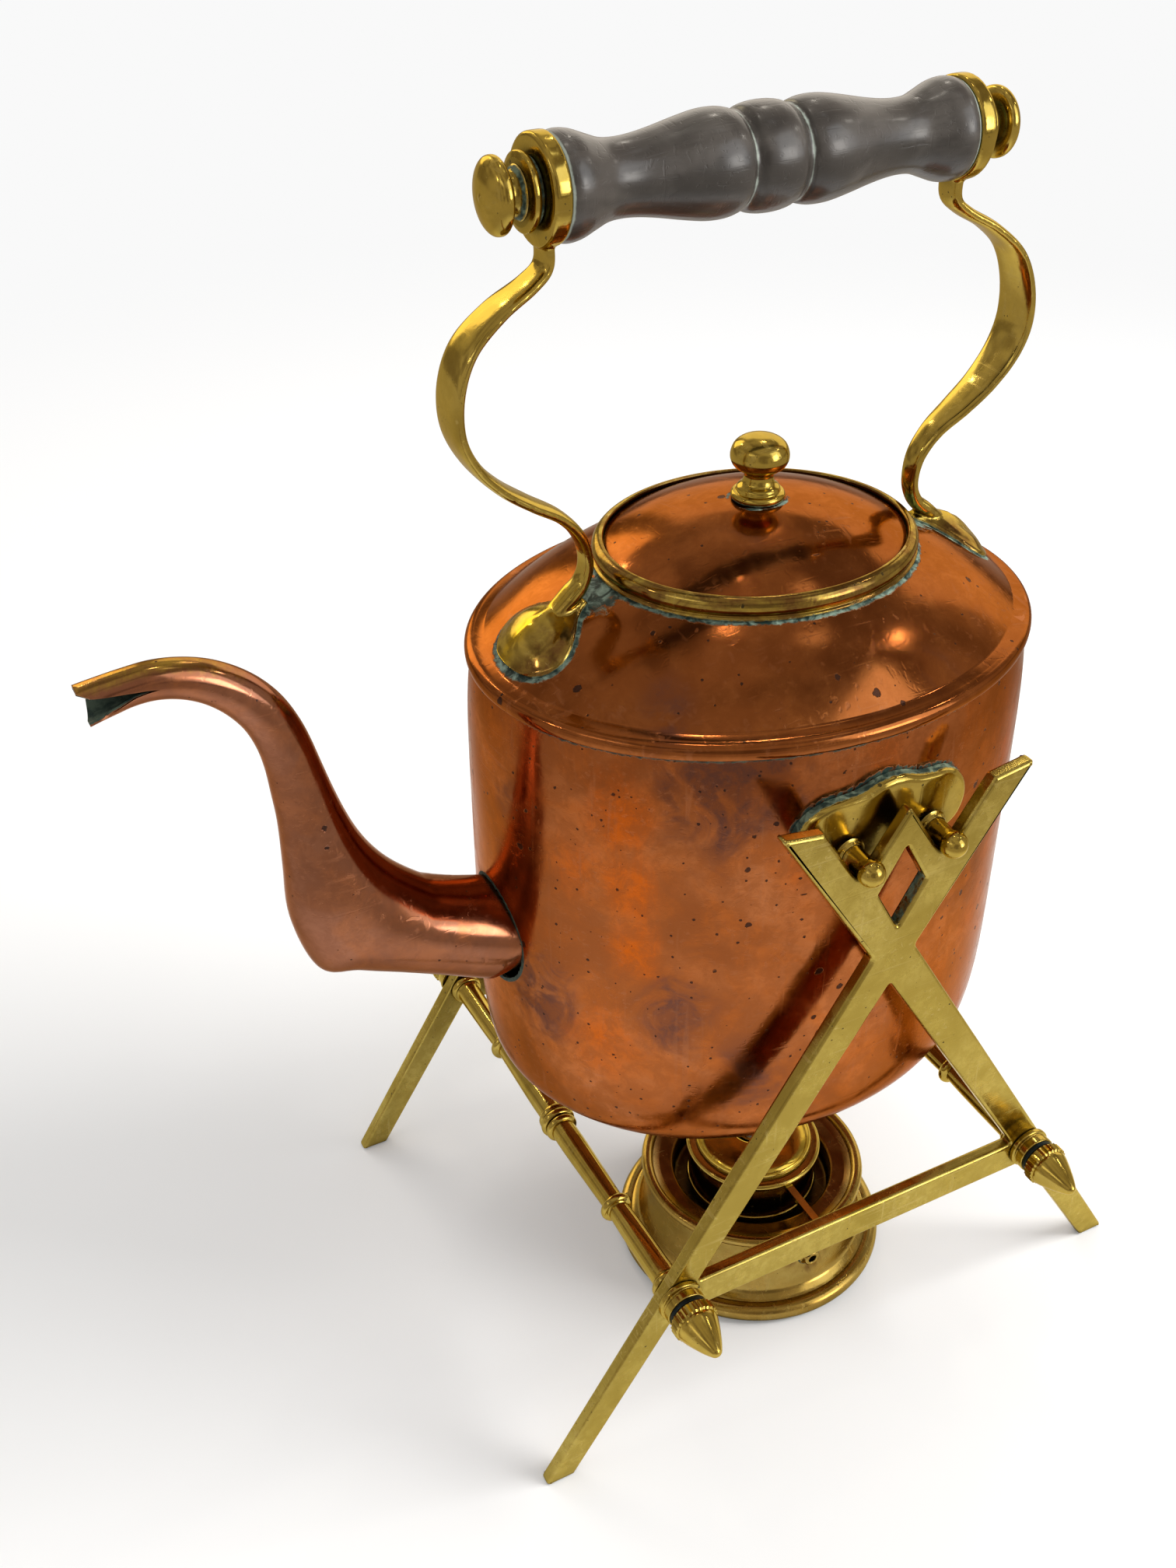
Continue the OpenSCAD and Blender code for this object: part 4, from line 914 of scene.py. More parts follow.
for side, word in ((-1, "front"), (1, "back")):
    addPiece(word + "Plate", plateShape(side), "kettle", [word + "_trunnion_plate"], brass,
             grime=lambda x, y, z: min(0.95, 1.6 * near(abs(y), wallY(x, 0.0), 2.9)),
             browningAndShade=lambda x, y, z: 0.45 * near(math.hypot(x, z - shared["seatZ"] - 5), 0, 26))
    pinRoot = sideAt(0.5) * shared["kettleRatio"] + 0.1
    ballY = shared["frameIn"] + shared["frameT"] + 2.1
    pinProfile = [(0, pinRoot + 0.4), (2.7, pinRoot + 0.4), (2.7, pinRoot + 2.6)]
    pinProfile += smoothRows([(4.1, pinRoot + 3.45), (3.5, pinRoot + 3.9), (3.15, pinRoot + 4.7),
                              (3.05, shared["frameIn"] - 1.6), (2.92, shared["frameIn"] - 0.6),
                              (2.84, shared["frameIn"] + 0.2), (2.78, shared["frameIn"] + 3.0)], 4)
    pinProfile += [(3.4 * math.cos(math.radians(a)), ballY + 3.4 * math.sin(math.radians(a)))
                   for a in range(-36, 90, 7)] + [(0, ballY + 3.4)]
    pins = []
    for x in (-shared["notchX"], shared["notchX"]):
        out = Matrix.Translation((x, 0, shared["seatZ"])) @ Matrix.Rotation(math.radians(-90 * side), 4, "X")
        pins.append(moved(spun(pinProfile, 48), out))
    addPiece(word + "Pins", joined(*pins), "kettle", [word + "_trunnion_pins"], brass)

body = newObject("kettleBody", bodyShape())
finishPiece(body, "kettle", ["kettle_wall", "kettle_base"], wallCopper, crease=60, grime=bodyGrime, browningAndShade=bodyHeat,
            glow=lambda x, y, z: spotSum(glowSpots, x, y, z))
print("kettle body made")


# Shoulder with its rolled rim
shoulderSizes = {"inset": 2.6, "ringA": 41.6, "steps": 40, "sides": 420}
padSizes = {"mid": 58.0, "leanDeg": 26.0}


def slopeRow(s, inset):   # one row of the slope, from the rim at 0 to the lid ring at 1
    rise = s + 0.1 * math.sin(math.pi * s)
    a0 = shared["kettleA"] - shoulderSizes["inset"]
    b0 = shared["kettleA"] * shared["kettleRatio"] - shoulderSizes["inset"]
    ringA = shoulderSizes["ringA"]
    return (a0 + (ringA - a0) * s - inset * 0.5, b0 + (ringA * shared["mouthRatio"] - b0) * s - inset * 0.5,
            shared["seamZ"] + 4.2 + (shared["landZ"] - shared["seamZ"] - 4.2) * rise - inset)


def shoulderAt(x, y):   # height of the shoulder's outside over a point
    low, high = 0.0, 1.0
    for _ in range(24):
        s = (low + high) / 2
        a, b, z = slopeRow(s, 0)
        if (x / a) ** 2 + (y / b) ** 2 > 1:
            high = s
        else:
            low = s
    return z


def shoulderRows():
    a, b = shared["kettleA"], shared["kettleA"] * shared["kettleRatio"]
    rim = [(-1.8, 0.0), (0.2, 0.0), (0.75, 0.25), (1.08, 0.8), (1.2, 1.9), (1.05, 2.7), (0.62, 3.4), (0.0, 3.9),
           (-0.7, 4.17), (-1.4, 4.3)]
    rows = [(a + out, b + out, shared["seamZ"] + up) for out, up in smoothRows(rim[1:], 4)]
    slope = [slopeRow(k / shoulderSizes["steps"], 0) for k in range(1, shoulderSizes["steps"] + 1)]
    under = [slopeRow(k / shoulderSizes["steps"], 1.2) for k in range(shoulderSizes["steps"], -1, -1)]
    mouth = [(shared["mouthA"], shared["mouthA"] * shared["mouthRatio"], shared["landZ"])]
    return [(a - 1.8, b - 1.8, shared["seamZ"])] + rows + slope + mouth + under


def leafOutline():   # along the slope from the middle of the leaf, and across it
    rows = [(-11.6, 2.3), (-9.6, 3.0), (-7.2, 4.9), (-4.2, 8.6), (-1, 11.7), (2.2, 12.95), (5.2, 12.6),
            (8.2, 10.8), (10.6, 7.7), (12.0, 4.0), (12.4, 0.0)]
    right = smoothRows(rows, 5)
    return [Vector(p) for p in right] + [Vector((x, -y)) for x, y in reversed(right[:-1])]


leafEdge = leafOutline()


def padDistance(x, y):   # how far a point lies outside the leaf's outline
    here = Vector(((abs(x) - padSizes["mid"]) / math.cos(math.radians(padSizes["leanDeg"])), y))
    if here.length > 30:
        return 30.0
    best, inside = 1e9, False
    for a, b in zip(leafEdge, leafEdge[1:] + leafEdge[:1]):
        way = b - a
        share = max(0.0, min(1.0, (here - a).dot(way) / max(way.length_squared, 1e-9)))
        best = min(best, (here - a - way * share).length)
        if (a.y > here.y) != (b.y > here.y) and here.x < a.x + (here.y - a.y) * (b.x - a.x) / (b.y - a.y):
            inside = not inside
    return -best if inside else best


def shoulderGrime(x, y, z):
    leaf = padDistance(x, y)
    worth = 0.98 * max(0.0, 1 - max(0.0, leaf) / 2.0) if leaf > -2.5 else 0.3
    fromRing = math.hypot(x, y / shared["mouthRatio"]) - shoulderSizes["ringA"]
    worth = max(worth, 0.86 * max(0.0, 1 - max(0.0, fromRing) / 2.0))
    if leaf < 7 and fromRing < 9:   # the crust fills the corner between the leaf and the ring
        worth = max(worth, 1.0 - 0.05 * max(0.0, leaf) - 0.035 * max(0.0, fromRing) ** 1.2)
    under = max(0.0, min(1.0, (shared["seamZ"] + 0.7 - z) / 0.6))
    return max(worth, 0.85 * under)


shoulderSpots = [   # x, y, size and strength of each darker patch
    (-48, -38, 9, 0.5), (20, -52, 8, 0.35), (-10, 50, 10, 0.5), (55, 30, 9, 0.45), (40, -40, 7, 0.3)]


def shoulderHeat(x, y, z):
    return max(power * math.exp(-((x - cx) ** 2 + (y - cy) ** 2) / size ** 2)
               for cx, cy, size, power in shoulderSpots)


addPiece("shoulder", ovalLoft(shoulderRows(), shoulderSizes["sides"]), "kettle", ["kettle_shoulder"],
         shoulderCopper, crease=60, grime=shoulderGrime, browningAndShade=shoulderHeat)

# Lid ring, lid and knob
ringSizes = {"wide": 5.4, "high": 5.6, "ledgeWide": 2.6, "ledgeHigh": 3.0}


def ringProfile():
    a, low = shared["mouthA"], shared["landZ"] + 0.05
    w, h = ringSizes["wide"], ringSizes["high"]
    bulge = [(a + 2.95 + 2.55 * math.cos(math.radians(t)), h - 2.6 + 2.6 * math.sin(math.radians(t)))
             for t in range(-36, 86, 8)]
    return [(r, z + low) for r, z in roundCorners([
        (a, 0, 0.1), (a + w, 0, 0.1), (a + w + 0.2, 0.6, 0.35), (a + w - 0.6, 1.1, 0.3), *bulge,
        (a + ringSizes["ledgeWide"] + 0.25, h - 0.02, 0.15),
        (a + ringSizes["ledgeWide"], h - 0.4, 0.2), (a + ringSizes["ledgeWide"], ringSizes["ledgeHigh"], 0.1),
        (a, ringSizes["ledgeHigh"], 0.2)])]


addPiece("lidRing", spun(ringProfile(), 240, shared["mouthRatio"], closed=True), "kettle", ["lid_ring"], brass,
         grime=lambda x, y, z: 0.7 * near(z, shared["landZ"], 1.3),
         browningAndShade=lambda x, y, z: 0.78)

lidSizes = {"half": 38.4, "low": 233.25, "thick": 1.1, "rise": 9.6, "holeR": 2.05}


def lidProfile():
    a, low, thick, rise = lidSizes["half"], lidSizes["low"], lidSizes["thick"], lidSizes["rise"]

    def dome(x):
        return rise * (1 - (x / a) ** 2) * (1 + 0.12 * (x / a) ** 2)

    reach = [a * math.sin(math.pi / 2 * k / 40) for k in range(1, 41)]
    top = [(x, low + thick + dome(x)) for x in reach]
    under = [(x, low + dome(x)) for x in reach]
    top[-1] = (a - 0.25, low + thick + dome(a - 0.25) * 0.9)
    edge = [(a, low + thick * 0.7), (a, low + thick * 0.3), (a - 0.2, low)]
    hole = lidSizes["holeR"]   # for the knob's shank
    return [(hole, low + thick + dome(hole))] + [p for p in top if p[0] > hole + 0.15] + edge + \
        [p for p in reversed(under[:-1]) if p[0] > hole + 0.15] + [(hole, low + dome(hole))]


addPiece("lidDome", spun(lidProfile(), 240, shared["mouthRatio"], closed=True), "lid", ["lid"], shoulderCopper,
         crease=60, grime=lambda x, y, z: 0.85 * near(math.hypot(x, y), 6.9, 0.9) if z > 243 else 0.0,
         browningAndShade=lambda x, y, z: 0.35 * math.exp(-((x + 12) ** 2 + (y + 14) ** 2) / 90))

knobSizes = {"widest": 7.2, "foot": 244.05}


def knobProfile():
    r, z0 = knobSizes["widest"], knobSizes["foot"]
    rows = [(r * 0.9, 0.0), (r * 0.93, 0.9), (r * 0.86, 1.7), (r * 0.76, 1.9), (r * 0.72, 2.9), (r * 0.56, 4.0),
            (r * 0.5, 5.6), (r * 0.54, 6.6), (r * 0.72, 7.5), (r * 0.9, 8.6), (r * 0.995, 10.2), (r * 0.985, 11.8),
            (r * 0.88, 13.6), (r * 0.66, 14.9), (r * 0.36, 15.6), (0.0, 15.8)]
    return [(0, z0), (2.0, z0)] + [(min(a, r), z + z0) for a, z in smoothRows(rows, 5)]


shank = spun([(0, 237.95), (2.0, 237.95), (2.0, 244.15), (0, 244.15)], 32)
addPiece("lidKnob", joined(spun(knobProfile(), 96), shank), "lid", ["lid_knob"], brass, crease=50,
         grime=lambda x, y, z: 0.7 * near(z, 244.1, 0.7))
print("shoulder and lid made")


# Spout: a raised copper tube with an open beak
# Each row is the way out from the kettle, the height, the depth and width radii, and the lean in degrees
spoutSizes = {"rootZ": 136.9, "thick": 0.9, "sides": 72, "easeTurns": 90, "splitAt": 76.5, "rows": [
    (-9, -3.9, 13.9, 13.9, 66), (2, 0.9, 13.7, 13.7, 66), (14.8, 6.4, 12.9, 13, 66), (25.4, 11.6, 13, 12.8, 64),
    (34.5, 16.9, 14.2, 12.6, 61), (40.4, 22.4, 16.4, 12.2, 57), (43.6, 30.6, 14, 11.4, 40),
    (45.4, 39.5, 9.9, 9.9, 20), (46.8, 51.3, 7.8, 8, 8), (48.4, 61.1, 6.8, 6.9, 7), (49.8, 69.4, 6.2, 6.3, 12),
    (51.6, 76.3, 5.9, 5.9, 20), (54.3, 82.6, 5.7, 5.6, 31), (57.9, 87.7, 5.5, 5.3, 43), (62.2, 91.8, 5.2, 5, 55),
    (67, 94.9, 4.9, 4.7, 66), (72.2, 96.9, 4.6, 4.5, 76), (77.4, 97.8, 4.4, 4.4, 86), (82.6, 97.6, 4.3, 4.4, 95),
    (87.6, 96.8, 4.6, 4.5, 101), (92.4, 95.8, 5, 4.7, 104)]}


def spoutPoint(row, a, push=0.0):   # a point on the outside, at an angle from the top of the tube
    lean = math.radians(row[4])
    d, w = (row[2] + push) * math.cos(a), (row[3] + push) * math.sin(a)
    return Vector((-(shared["kettleA"] + row[0]) + d * math.cos(lean), w,
                   spoutSizes["rootZ"] + row[1] + d * math.sin(lean)))


def spoutRings(rows):
    sides = spoutSizes["sides"]
    rings = []
    for row in rows:
        ring = []
        for j in range(sides):
            a = 2 * math.pi * (j + 0.5) / sides
            heel = 1.5 * math.exp(-(((row[0] - 39.6) / 2.6) ** 2)) * max(0.0, -math.cos(a)) ** 6
            ring.append(spoutPoint(row, a, heel))
        rings.append(ring)
    for turn in range(spoutSizes["easeTurns"]):   # eases the tight inside of the elbow
        for j in range(sides):
            soft = 0.5 * max(0.0, math.cos(2 * math.pi * (j + 0.5) / sides)) ** 0.5
            if soft < 0.05:
                continue
            for i in range(2, len(rings) - 1):
                if 24 < rows[i][0] < 50:
                    rings[i][j] = rings[i][j].lerp((rings[i - 1][j] + rings[i + 1][j]) / 2, soft)
    return rings


def valueAt(pairs, t):
    for (a, x), (b, y) in zip(pairs, pairs[1:]):
        if t <= b:
            return x + (y - x) * (t - a) / (b - a)
    return pairs[-1][1]


beak = {   # half angles from the top for the lip and from the bottom for the jaw, along the slit
    "lip": [(0, 93), (0.33, 82), (0.67, 66), (1, 50)],
    "jawNear": [(0, 87), (0.33, 80), (0.67, 58), (0.92, 26)],
    "jawFar": [(0, 87), (0.33, 84), (0.67, 79), (0.92, 73)],
    "jawEnd": 0.92, "lipPoint": 1.6, "lipBack": 1.9, "jawPoint": 1.7,
}


def spoutShape():
    rows = [row for row in smoothRows(spoutSizes["rows"], 7) if row[0] > 0.5]
    endA = shared["kettleA"] - 2.8
    endB = endA * shared["kettleRatio"]
    rings = spoutRings(rows)
    root = [Vector((-endA * math.sqrt(1 - (p.y / endB) ** 2), p.y, p.z + 1.2)) for p in rings[0]]
    rings.insert(0, root)   # the inside end follows the wall
    rows.insert(0, rows[0])
    split = next(k for k, row in enumerate(rows) if row[0] > spoutSizes["splitAt"])
    sides = spoutSizes["sides"]
    points, faces = tube(rings[:split + 1], capped=False)
    points = [tuple(p) for p in points]

    def turnOf(j):   # the angle of a side from the top, from -180 to 180
        return (math.degrees(2 * math.pi * (j + 0.5) / sides) + 180) % 360 - 180

    byTurn = sorted(range(sides), key=turnOf)
    lip = [j for j in byTurn if abs(turnOf(j)) <= 95]
    jaw = [j for j in byTurn if turnOf(j) >= turnOf(lip[-1])] + [j for j in byTurn if turnOf(j) <= turnOf(lip[0])]
    last = len(rows) - 1
    for strip in (lip, jaw):
        previous = [split * sides + j for j in strip]
        for i in range(split + 1, last + 1):
            t = (i - split) / (last - split)
            if strip is jaw and t > beak["jawEnd"]:
                break
            row, ahead = rows[i], rows[min(i + 1, last)]
            step = spoutPoint(rows[i], 0) - spoutPoint(rows[i - 1], 0)
            fresh = []
            for n in range(len(strip)):
                share = n / (len(strip) - 1) * 2 - 1
                if strip is lip:
                    turn = share * valueAt(beak["lip"], t)
                    late = max(0.0, t - 0.7) / 0.3
                    reach = late * (beak["lipPoint"] - (beak["lipPoint"] + beak["lipBack"]) * abs(share) ** 1.3)
                else:
                    turn = 180 + (share * valueAt(beak["jawNear"], t) if share > 0
                                  else share * valueAt(beak["jawFar"], t))
                    reach = beak["jawPoint"] * max(0.0, t - 0.6) / 0.32 * max(0.0, min(1.0, share + 1.0))
                point = spoutPoint(row, math.radians(turn)) + step.normalized() * reach
                fresh.append(len(points))
                points.append(tuple(point))
            for n in range(len(strip) - 1):
                faces.append([previous[n], previous[n + 1], fresh[n + 1], fresh[n]])
            previous = fresh
    return points, faces


spoutAxis = smoothRows(spoutSizes["rows"], 2)


def spoutTopHighlight(x, y, z):   # near 1 on the top of the beak's bend, where the glow colour paints a highlight
    if x > -108:   # the riser and the root
        return 0.0
    row = min(spoutAxis, key=lambda r: abs(shared["kettleA"] + r[0] + x) + abs(
        spoutSizes["rootZ"] + r[1] - z))
    rise = (z - spoutSizes["rootZ"] - row[1]) / row[2]
    return 0.85 * max(0.0, min(1.0, (rise - 0.5) / 0.4)) * max(0.0, min(1.0, (-x - 118) / 22))


spout = newObject("spoutTube", spoutShape())
outside = len(spout.data.vertices)
sheet = spout.modifiers.new("sheet", "SOLIDIFY")
sheet.thickness, sheet.offset, sheet.use_even_offset = spoutSizes["thick"] / 1000, -1.0, True
bakeModifiers(spout)
inside = spout.data.attributes.new("grime", "FLOAT", "POINT")
for k, v in enumerate(spout.data.vertices):   # the mouth is crusted inside
    depth = fromFrame(v.co)[0] + shared["kettleA"] + 70
    inside.data[k].value = max(0.0, min(1.0, -depth / 5)) if k >= outside else 0.0
finishPiece(spout, "kettle", ["spout"], spoutCopper, crease=45, glow=spoutTopHighlight)
print("spout made")


# Handle brackets: strap, eye and leaf as one casting
# Each row is the way out from the middle, the height from the grip, and the shares of width and thickness
strapSizes = {"wide": 13.0, "thick": 3.2, "lean": 4.0, "eyeX": 50.9, "eyeT": 4.2, "eyeR": 11.5, "rows": [
    (53, -8, 0.62, 1), (52.8, -15, 0.6, 1), (56.6, -18.8, 0.68, 1), (64.6, -23.4, 0.82, 1), (72.1, -30, 0.94, 1),
    (75.9, -38.6, 1, 1), (76.4, -48, 1, 1), (73.3, -56, 0.95, 1), (67.4, -63, 0.86, 1), (60.2, -68.6, 0.76, 1),
    (53, -73.6, 0.6, 1), (48.3, -79.6, 0.5, 1), (46.9, -86.4, 0.43, 1.05), (48.4, -91.4, 0.43, 1.2),
    (51.6, -94.6, 0.5, 1.4), (56, -98.2, 0.45, 1.1)]}


def strapShape(side):
    rows = smoothRows(strapSizes["rows"], 8)
    rings = []
    for i, row in enumerate(rows):
        before, after = rows[max(i - 1, 0)], rows[min(i + 1, len(rows) - 1)]
        way = Vector((after[0] - before[0], after[1] - before[1])).normalized()
        high = math.sin(math.radians(90 * max(0, 1 + row[1] / 95)))   # the lean grows toward the grip
        ring = []
        for j in range(32):
            a = 2 * math.pi * j / 32
            c, s = math.cos(a), math.sin(a)
            p = row[3] * strapSizes["thick"] / 2 * math.copysign(abs(c) ** 0.75, c) * (0.75 if c < 0 else 1)
            w = row[2] * strapSizes["wide"] / 2 * math.copysign(abs(s) ** 0.8, s)
            ring.append((side * (row[0] + p * way.y) - strapSizes["lean"] * high, w,
                         shared["gripZ"] + row[1] - p * way.x))
        rings.append(ring)
    return tube(rings)


def alongGrip(at, side):   # local +Z points outward along the grip's axis
    return Matrix.Translation((side * at - strapSizes["lean"], 0, shared["gripZ"])) @ Matrix.Rotation(
        math.radians(90 * side), 4, "Y")


def eyeShape(side):
    r, t = strapSizes["eyeR"], strapSizes["eyeT"]
    disc = roundCorners([(0, 0), (r, 0, 0.7), (r, t, 0.9), (0, t)], closed=False)
    return moved(spun(disc, 96), alongGrip(strapSizes["eyeX"], side))


def leafShape(side):
    centre = Vector((1.6, 0))
    tilt = math.radians(padSizes["leanDeg"])
    rings = []
    for share, rise in ((1.0, -0.5), (1.0, 0.5), (0.985, 0.95), (0.955, 1.2), (0.91, 1.35), (0.86, 1.6),
                        (0.78, 2.1), (0.68, 2.7), (0.56, 3.2), (0.42, 3.6), (0.27, 3.8), (0.12, 3.9)):
        ring = []
        for p in leafEdge:
            q = centre + (p - centre) * share
            ridge = 0.8 * math.exp(-((q.y / 2.2) ** 2)) * max(0.0, 1 - share) if rise > 1 else 0.0
            hollow = 0.45 * math.exp(-(((q.y + 5.5) / 2.2) ** 2 + ((q.x - 2) / 3.5) ** 2))
            lift = rise + ridge - (hollow if rise > 1.5 else 0.0)
            x = padSizes["mid"] + q.x * math.cos(tilt)
            z = shoulderAt(x, q.y)
            ring.append((side * (x + lift * math.sin(tilt)), q.y, z + lift * math.cos(tilt)))
        rings.append(ring)
    return tube(rings)


def bracketGrime(x, y, z):   # crust round the foot of the leaf
    if z > 232:
        return 0.0
    reach = z - shoulderAt(min(abs(x), 70), y)
    return 0.95 * max(0.0, 1 - max(0.0, reach) / 1.1)


for side, node in ((-1, "spout_side_bracket"), (1, "rear_bracket")):
    bracket = newObject("bracket" + ("Spout" if side < 0 else "Rear"),
                        joined(strapShape(side), eyeShape(side), leafShape(side)))
    fuse(bracket, 0.36, 7)
    # The leaf's ridge is painted brighter through the glow colour, a painted highlight; its flanks are browned
    # darker, painted shade.
    finishPiece(bracket, "kettle", [node], brass, crease=80, grime=bracketGrime,
                glow=lambda x, y, z: 0.95 * near(y, 1, 5) if z < 232 else 0.0,
                browningAndShade=lambda x, y, z: 0.6 * (1 - near(y, 1, 7)) if z < 230 else 0.0)
print("brackets made")


# Turned grip with its collars and end knobs
gripSizes = {"half": 50.8, "thickest": 11.6, "bore": 3.05, "shape": [
    (0, 1), (0.045, 0.99), (0.09, 0.95), (0.118, 0.88), (0.135, 0.868), (0.15, 0.885), (0.165, 0.93), (0.22, 0.98),
    (0.3, 0.975), (0.4, 0.9), (0.52, 0.79), (0.62, 0.72), (0.7, 0.7), (0.77, 0.73), (0.84, 0.84), (0.9, 0.94),
    (0.95, 0.975), (0.985, 0.955), (1, 0.93)]}


def gripProfile():
    full, length, bore = gripSizes["thickest"], gripSizes["half"], gripSizes["bore"]
    half = [(min(full * r, full), length * at) for at, r in smoothRows(gripSizes["shape"], 5)]
    return [(bore, -length)] + [(r, -z) for r, z in reversed(half)] + half[1:] + [(bore, length)]


def gripGrime(x, y, z):
    along = abs(x + strapSizes["lean"]) / gripSizes["half"]
    groove = 0.62 * near(along, 0.138, 0.022)
    end = 0.95 * near(along, 1.0, 0.022)
    return max(groove, end)


grip = spun(gripProfile(), 96, closed=True)
addPiece("woodenGrip", moved(grip, alongGrip(0, 1)), "kettle", ["wooden_grip"], wood, crease=50, grime=gripGrime)


def bothEnds(shape, out):
    at = strapSizes["eyeX"] + strapSizes["eyeT"] + out
    return joined(*[moved(shape, alongGrip(at, side)) for side in (-1, 1)])


collarProfile = roundCorners([(3.05, 0), (7.0, 0, 0.2), (7.0, 0.8, 0.3), (7.9, 1.1, 0.3), (8.2, 1.7, 0.5),
                              (8.2, 2.5, 0.5), (7.7, 2.7, 0.3), (6.8, 3.0, 0.3), (3.05, 3.0)])
addPiece("gripCollars", bothEnds(spun(collarProfile, 80, closed=True), 0.1), "kettle", ["grip_collars"], brass,
         grime=lambda x, y, z: 0.75 * near(abs(x + strapSizes["lean"]), 55.6, 0.8))
endKnob = [(3.05, 0.0), (5.6, 0.0)] + smoothRows([
    (5.3, 0.3), (4.4, 1.2), (4.2, 2.2), (4.6, 2.9), (6.4, 3.3), (7.7, 4.0), (7.98, 4.9), (7.7, 5.9), (6.5, 6.9),
    (4.3, 7.7), (2.2, 8.1), (1.2, 8.15), (0.0, 8.4)], 5)
addPiece("gripKnobs", bothEnds(spun(endKnob + [(0.0, 4.8), (3.05, 4.8)], 80, closed=True), 3.2), "kettle",
         ["grip_end_knobs"], brass, crease=60,
         grime=lambda x, y, z: 0.8 * near(abs(x + strapSizes["lean"]), 58.9, 0.9))
print("grip made")


# Spirit lamp
lampSizes = {"footR": 40.7, "rimR": 34.0, "high": 29.2, "bead": 3.0, "rim": 1.7, "capR": 17.63,
             "capHole": 6.9, "capZ": 38.4, "capRise": 4.0, "ventZ": 18.4, "ventOut": 32.85}


def lampPlaced(shape):
    return moved(shape, Matrix.Translation((0, shared["lampY"], 0)))


def lampShellProfile():
    high, beadR, rollR = lampSizes["high"], lampSizes["bead"], lampSizes["rim"]
    foot, rim = lampSizes["footR"] - beadR, lampSizes["rimR"] - rollR
    bead = [(foot + beadR * math.cos(math.radians(a)), beadR + beadR * math.sin(math.radians(a)))
            for a in range(105, -181, -15)]
    roll = [(rim + rollR * math.cos(math.radians(a)), high - rollR + rollR * math.sin(math.radians(a)))
            for a in range(190, -50, -15)]
    wall = smoothRows([(rim + 0.62, high - 3.1), (rim + 0.45, 20), (rim + 1.1, 13), (rim + 2, 8.4),
                       (rim + 3.4, 6.6), (foot - 0.9, 5.8)], 5)
    inner = smoothRows([(foot - 2.6, 4.2), (rim + 1.1, 8.0), (rim + 0.2, 13), (rim - 0.5, 20),
                        (rim - 1.0, high - 2.6)], 5)
    return roll + wall + bead + inner


addPiece("lampShell", lampPlaced(spun(lampShellProfile(), 160, closed=True)), "lamp", ["lamp_shell"], lampBrass,
         crease=50, grime=lambda x, y, z: 0.3 * near(z, 6.4, 1.4),
         browningAndShade=lambda x, y, z: 0.9 * near(math.hypot(x, z - lampSizes["ventZ"]), 5.2, 4.5) if y < -40 else 0.0)
coverProfile = roundCorners([
    (30.5, 27.6), (28.5, 26.8, 1.0), (24.8, 26.6, 0.9), (24.2, 26.0, 0.6), (24.2, 19.2, 1.6), (12.7, 19.2),
    (12.7, 18.3), (25.1, 18.3, 1.6), (25.1, 25.7, 0.4), (28.5, 25.9, 0.6), (30.5, 26.7)])
# The cover is browned most in its well: painted shade under the kettle.
addPiece("lampCover", lampPlaced(spun(coverProfile, 144, closed=True)), "lamp", ["lamp_cover"], coverBrass,
         browningAndShade=lambda x, y, z: 0.75 if math.hypot(x, y - shared["lampY"]) < 24.6 else 0.1)
tubeProfile = roundCorners([
    (4.55, 5.0), (5.55, 5.0), (5.55, 19.4), (17.63, 19.4, 0.3), (17.63, 38.2, 0.2), (16.63, 38.2, 0.2),
    (16.63, 20.6, 0.5), (5.55, 20.6, 0.5), (5.55, 41.6, 0.3), (4.55, 41.6, 0.3)])
addPiece("burnerTube", lampPlaced(spun(tubeProfile, 112, closed=True)), "lamp", ["burner_tube"], brass)
capR, capHole, capZ = lampSizes["capR"], lampSizes["capHole"], lampSizes["capZ"]
capDome = [(capHole + (capR - capHole) * math.cos(math.radians(a)),
            capZ + lampSizes["capRise"] * math.sin(math.radians(a))) for a in range(0, 90, 6)]
capProfile = [(capHole, capZ)] + capDome + [(7.4, 42.4), (6.95, 42.1)]
addPiece("burnerCap", lampPlaced(spun(capProfile, 112, closed=True)), "lamp", ["burner_cap"], brass,
         glow=lambda x, y, z: 0.6)
regulatorProfile = [(17.68, 21.8)] + beadOf(22.7, 1.8, 20.0) + roundCorners([
    (19.4, 23.7), (19.4, 34.9)], closed=False) + beadOf(36.3, 2.6, 20.5) + [(17.68, 37.6)]
addPiece("regulatorRing", lampPlaced(spun(regulatorProfile, 128, closed=True)), "regulator", ["regulator_ring"],
         brass)
ventProfile = roundCorners([(1.3, 0), (3.7, 0, 0.1), (3.7, 0.55, 0.5), (2.6, 0.85, 0.4), (2.4, 2.4, 0.5),
                            (1.3, 2.4, 0.3)])
ventOut = Matrix.Translation((0, shared["lampY"] - lampSizes["ventOut"], lampSizes["ventZ"])) @ \
    Matrix.Rotation(math.radians(90), 4, "X")
addPiece("ventTube", moved(spun(ventProfile, 48, closed=True), ventOut), "lamp", ["vent_tube"], lampBrass,
         grime=lambda x, y, z: 0.8 * near(math.hypot(x, z - lampSizes["ventZ"]), 3.7, 0.8))

# The wick is a bundle of twisted cotton strands, frayed at the top
wickSizes = {"low": 4.0, "twist": 7.8, "steps": 40, "sides": 8, "wobble": 0.12, "fluff": 0.14}


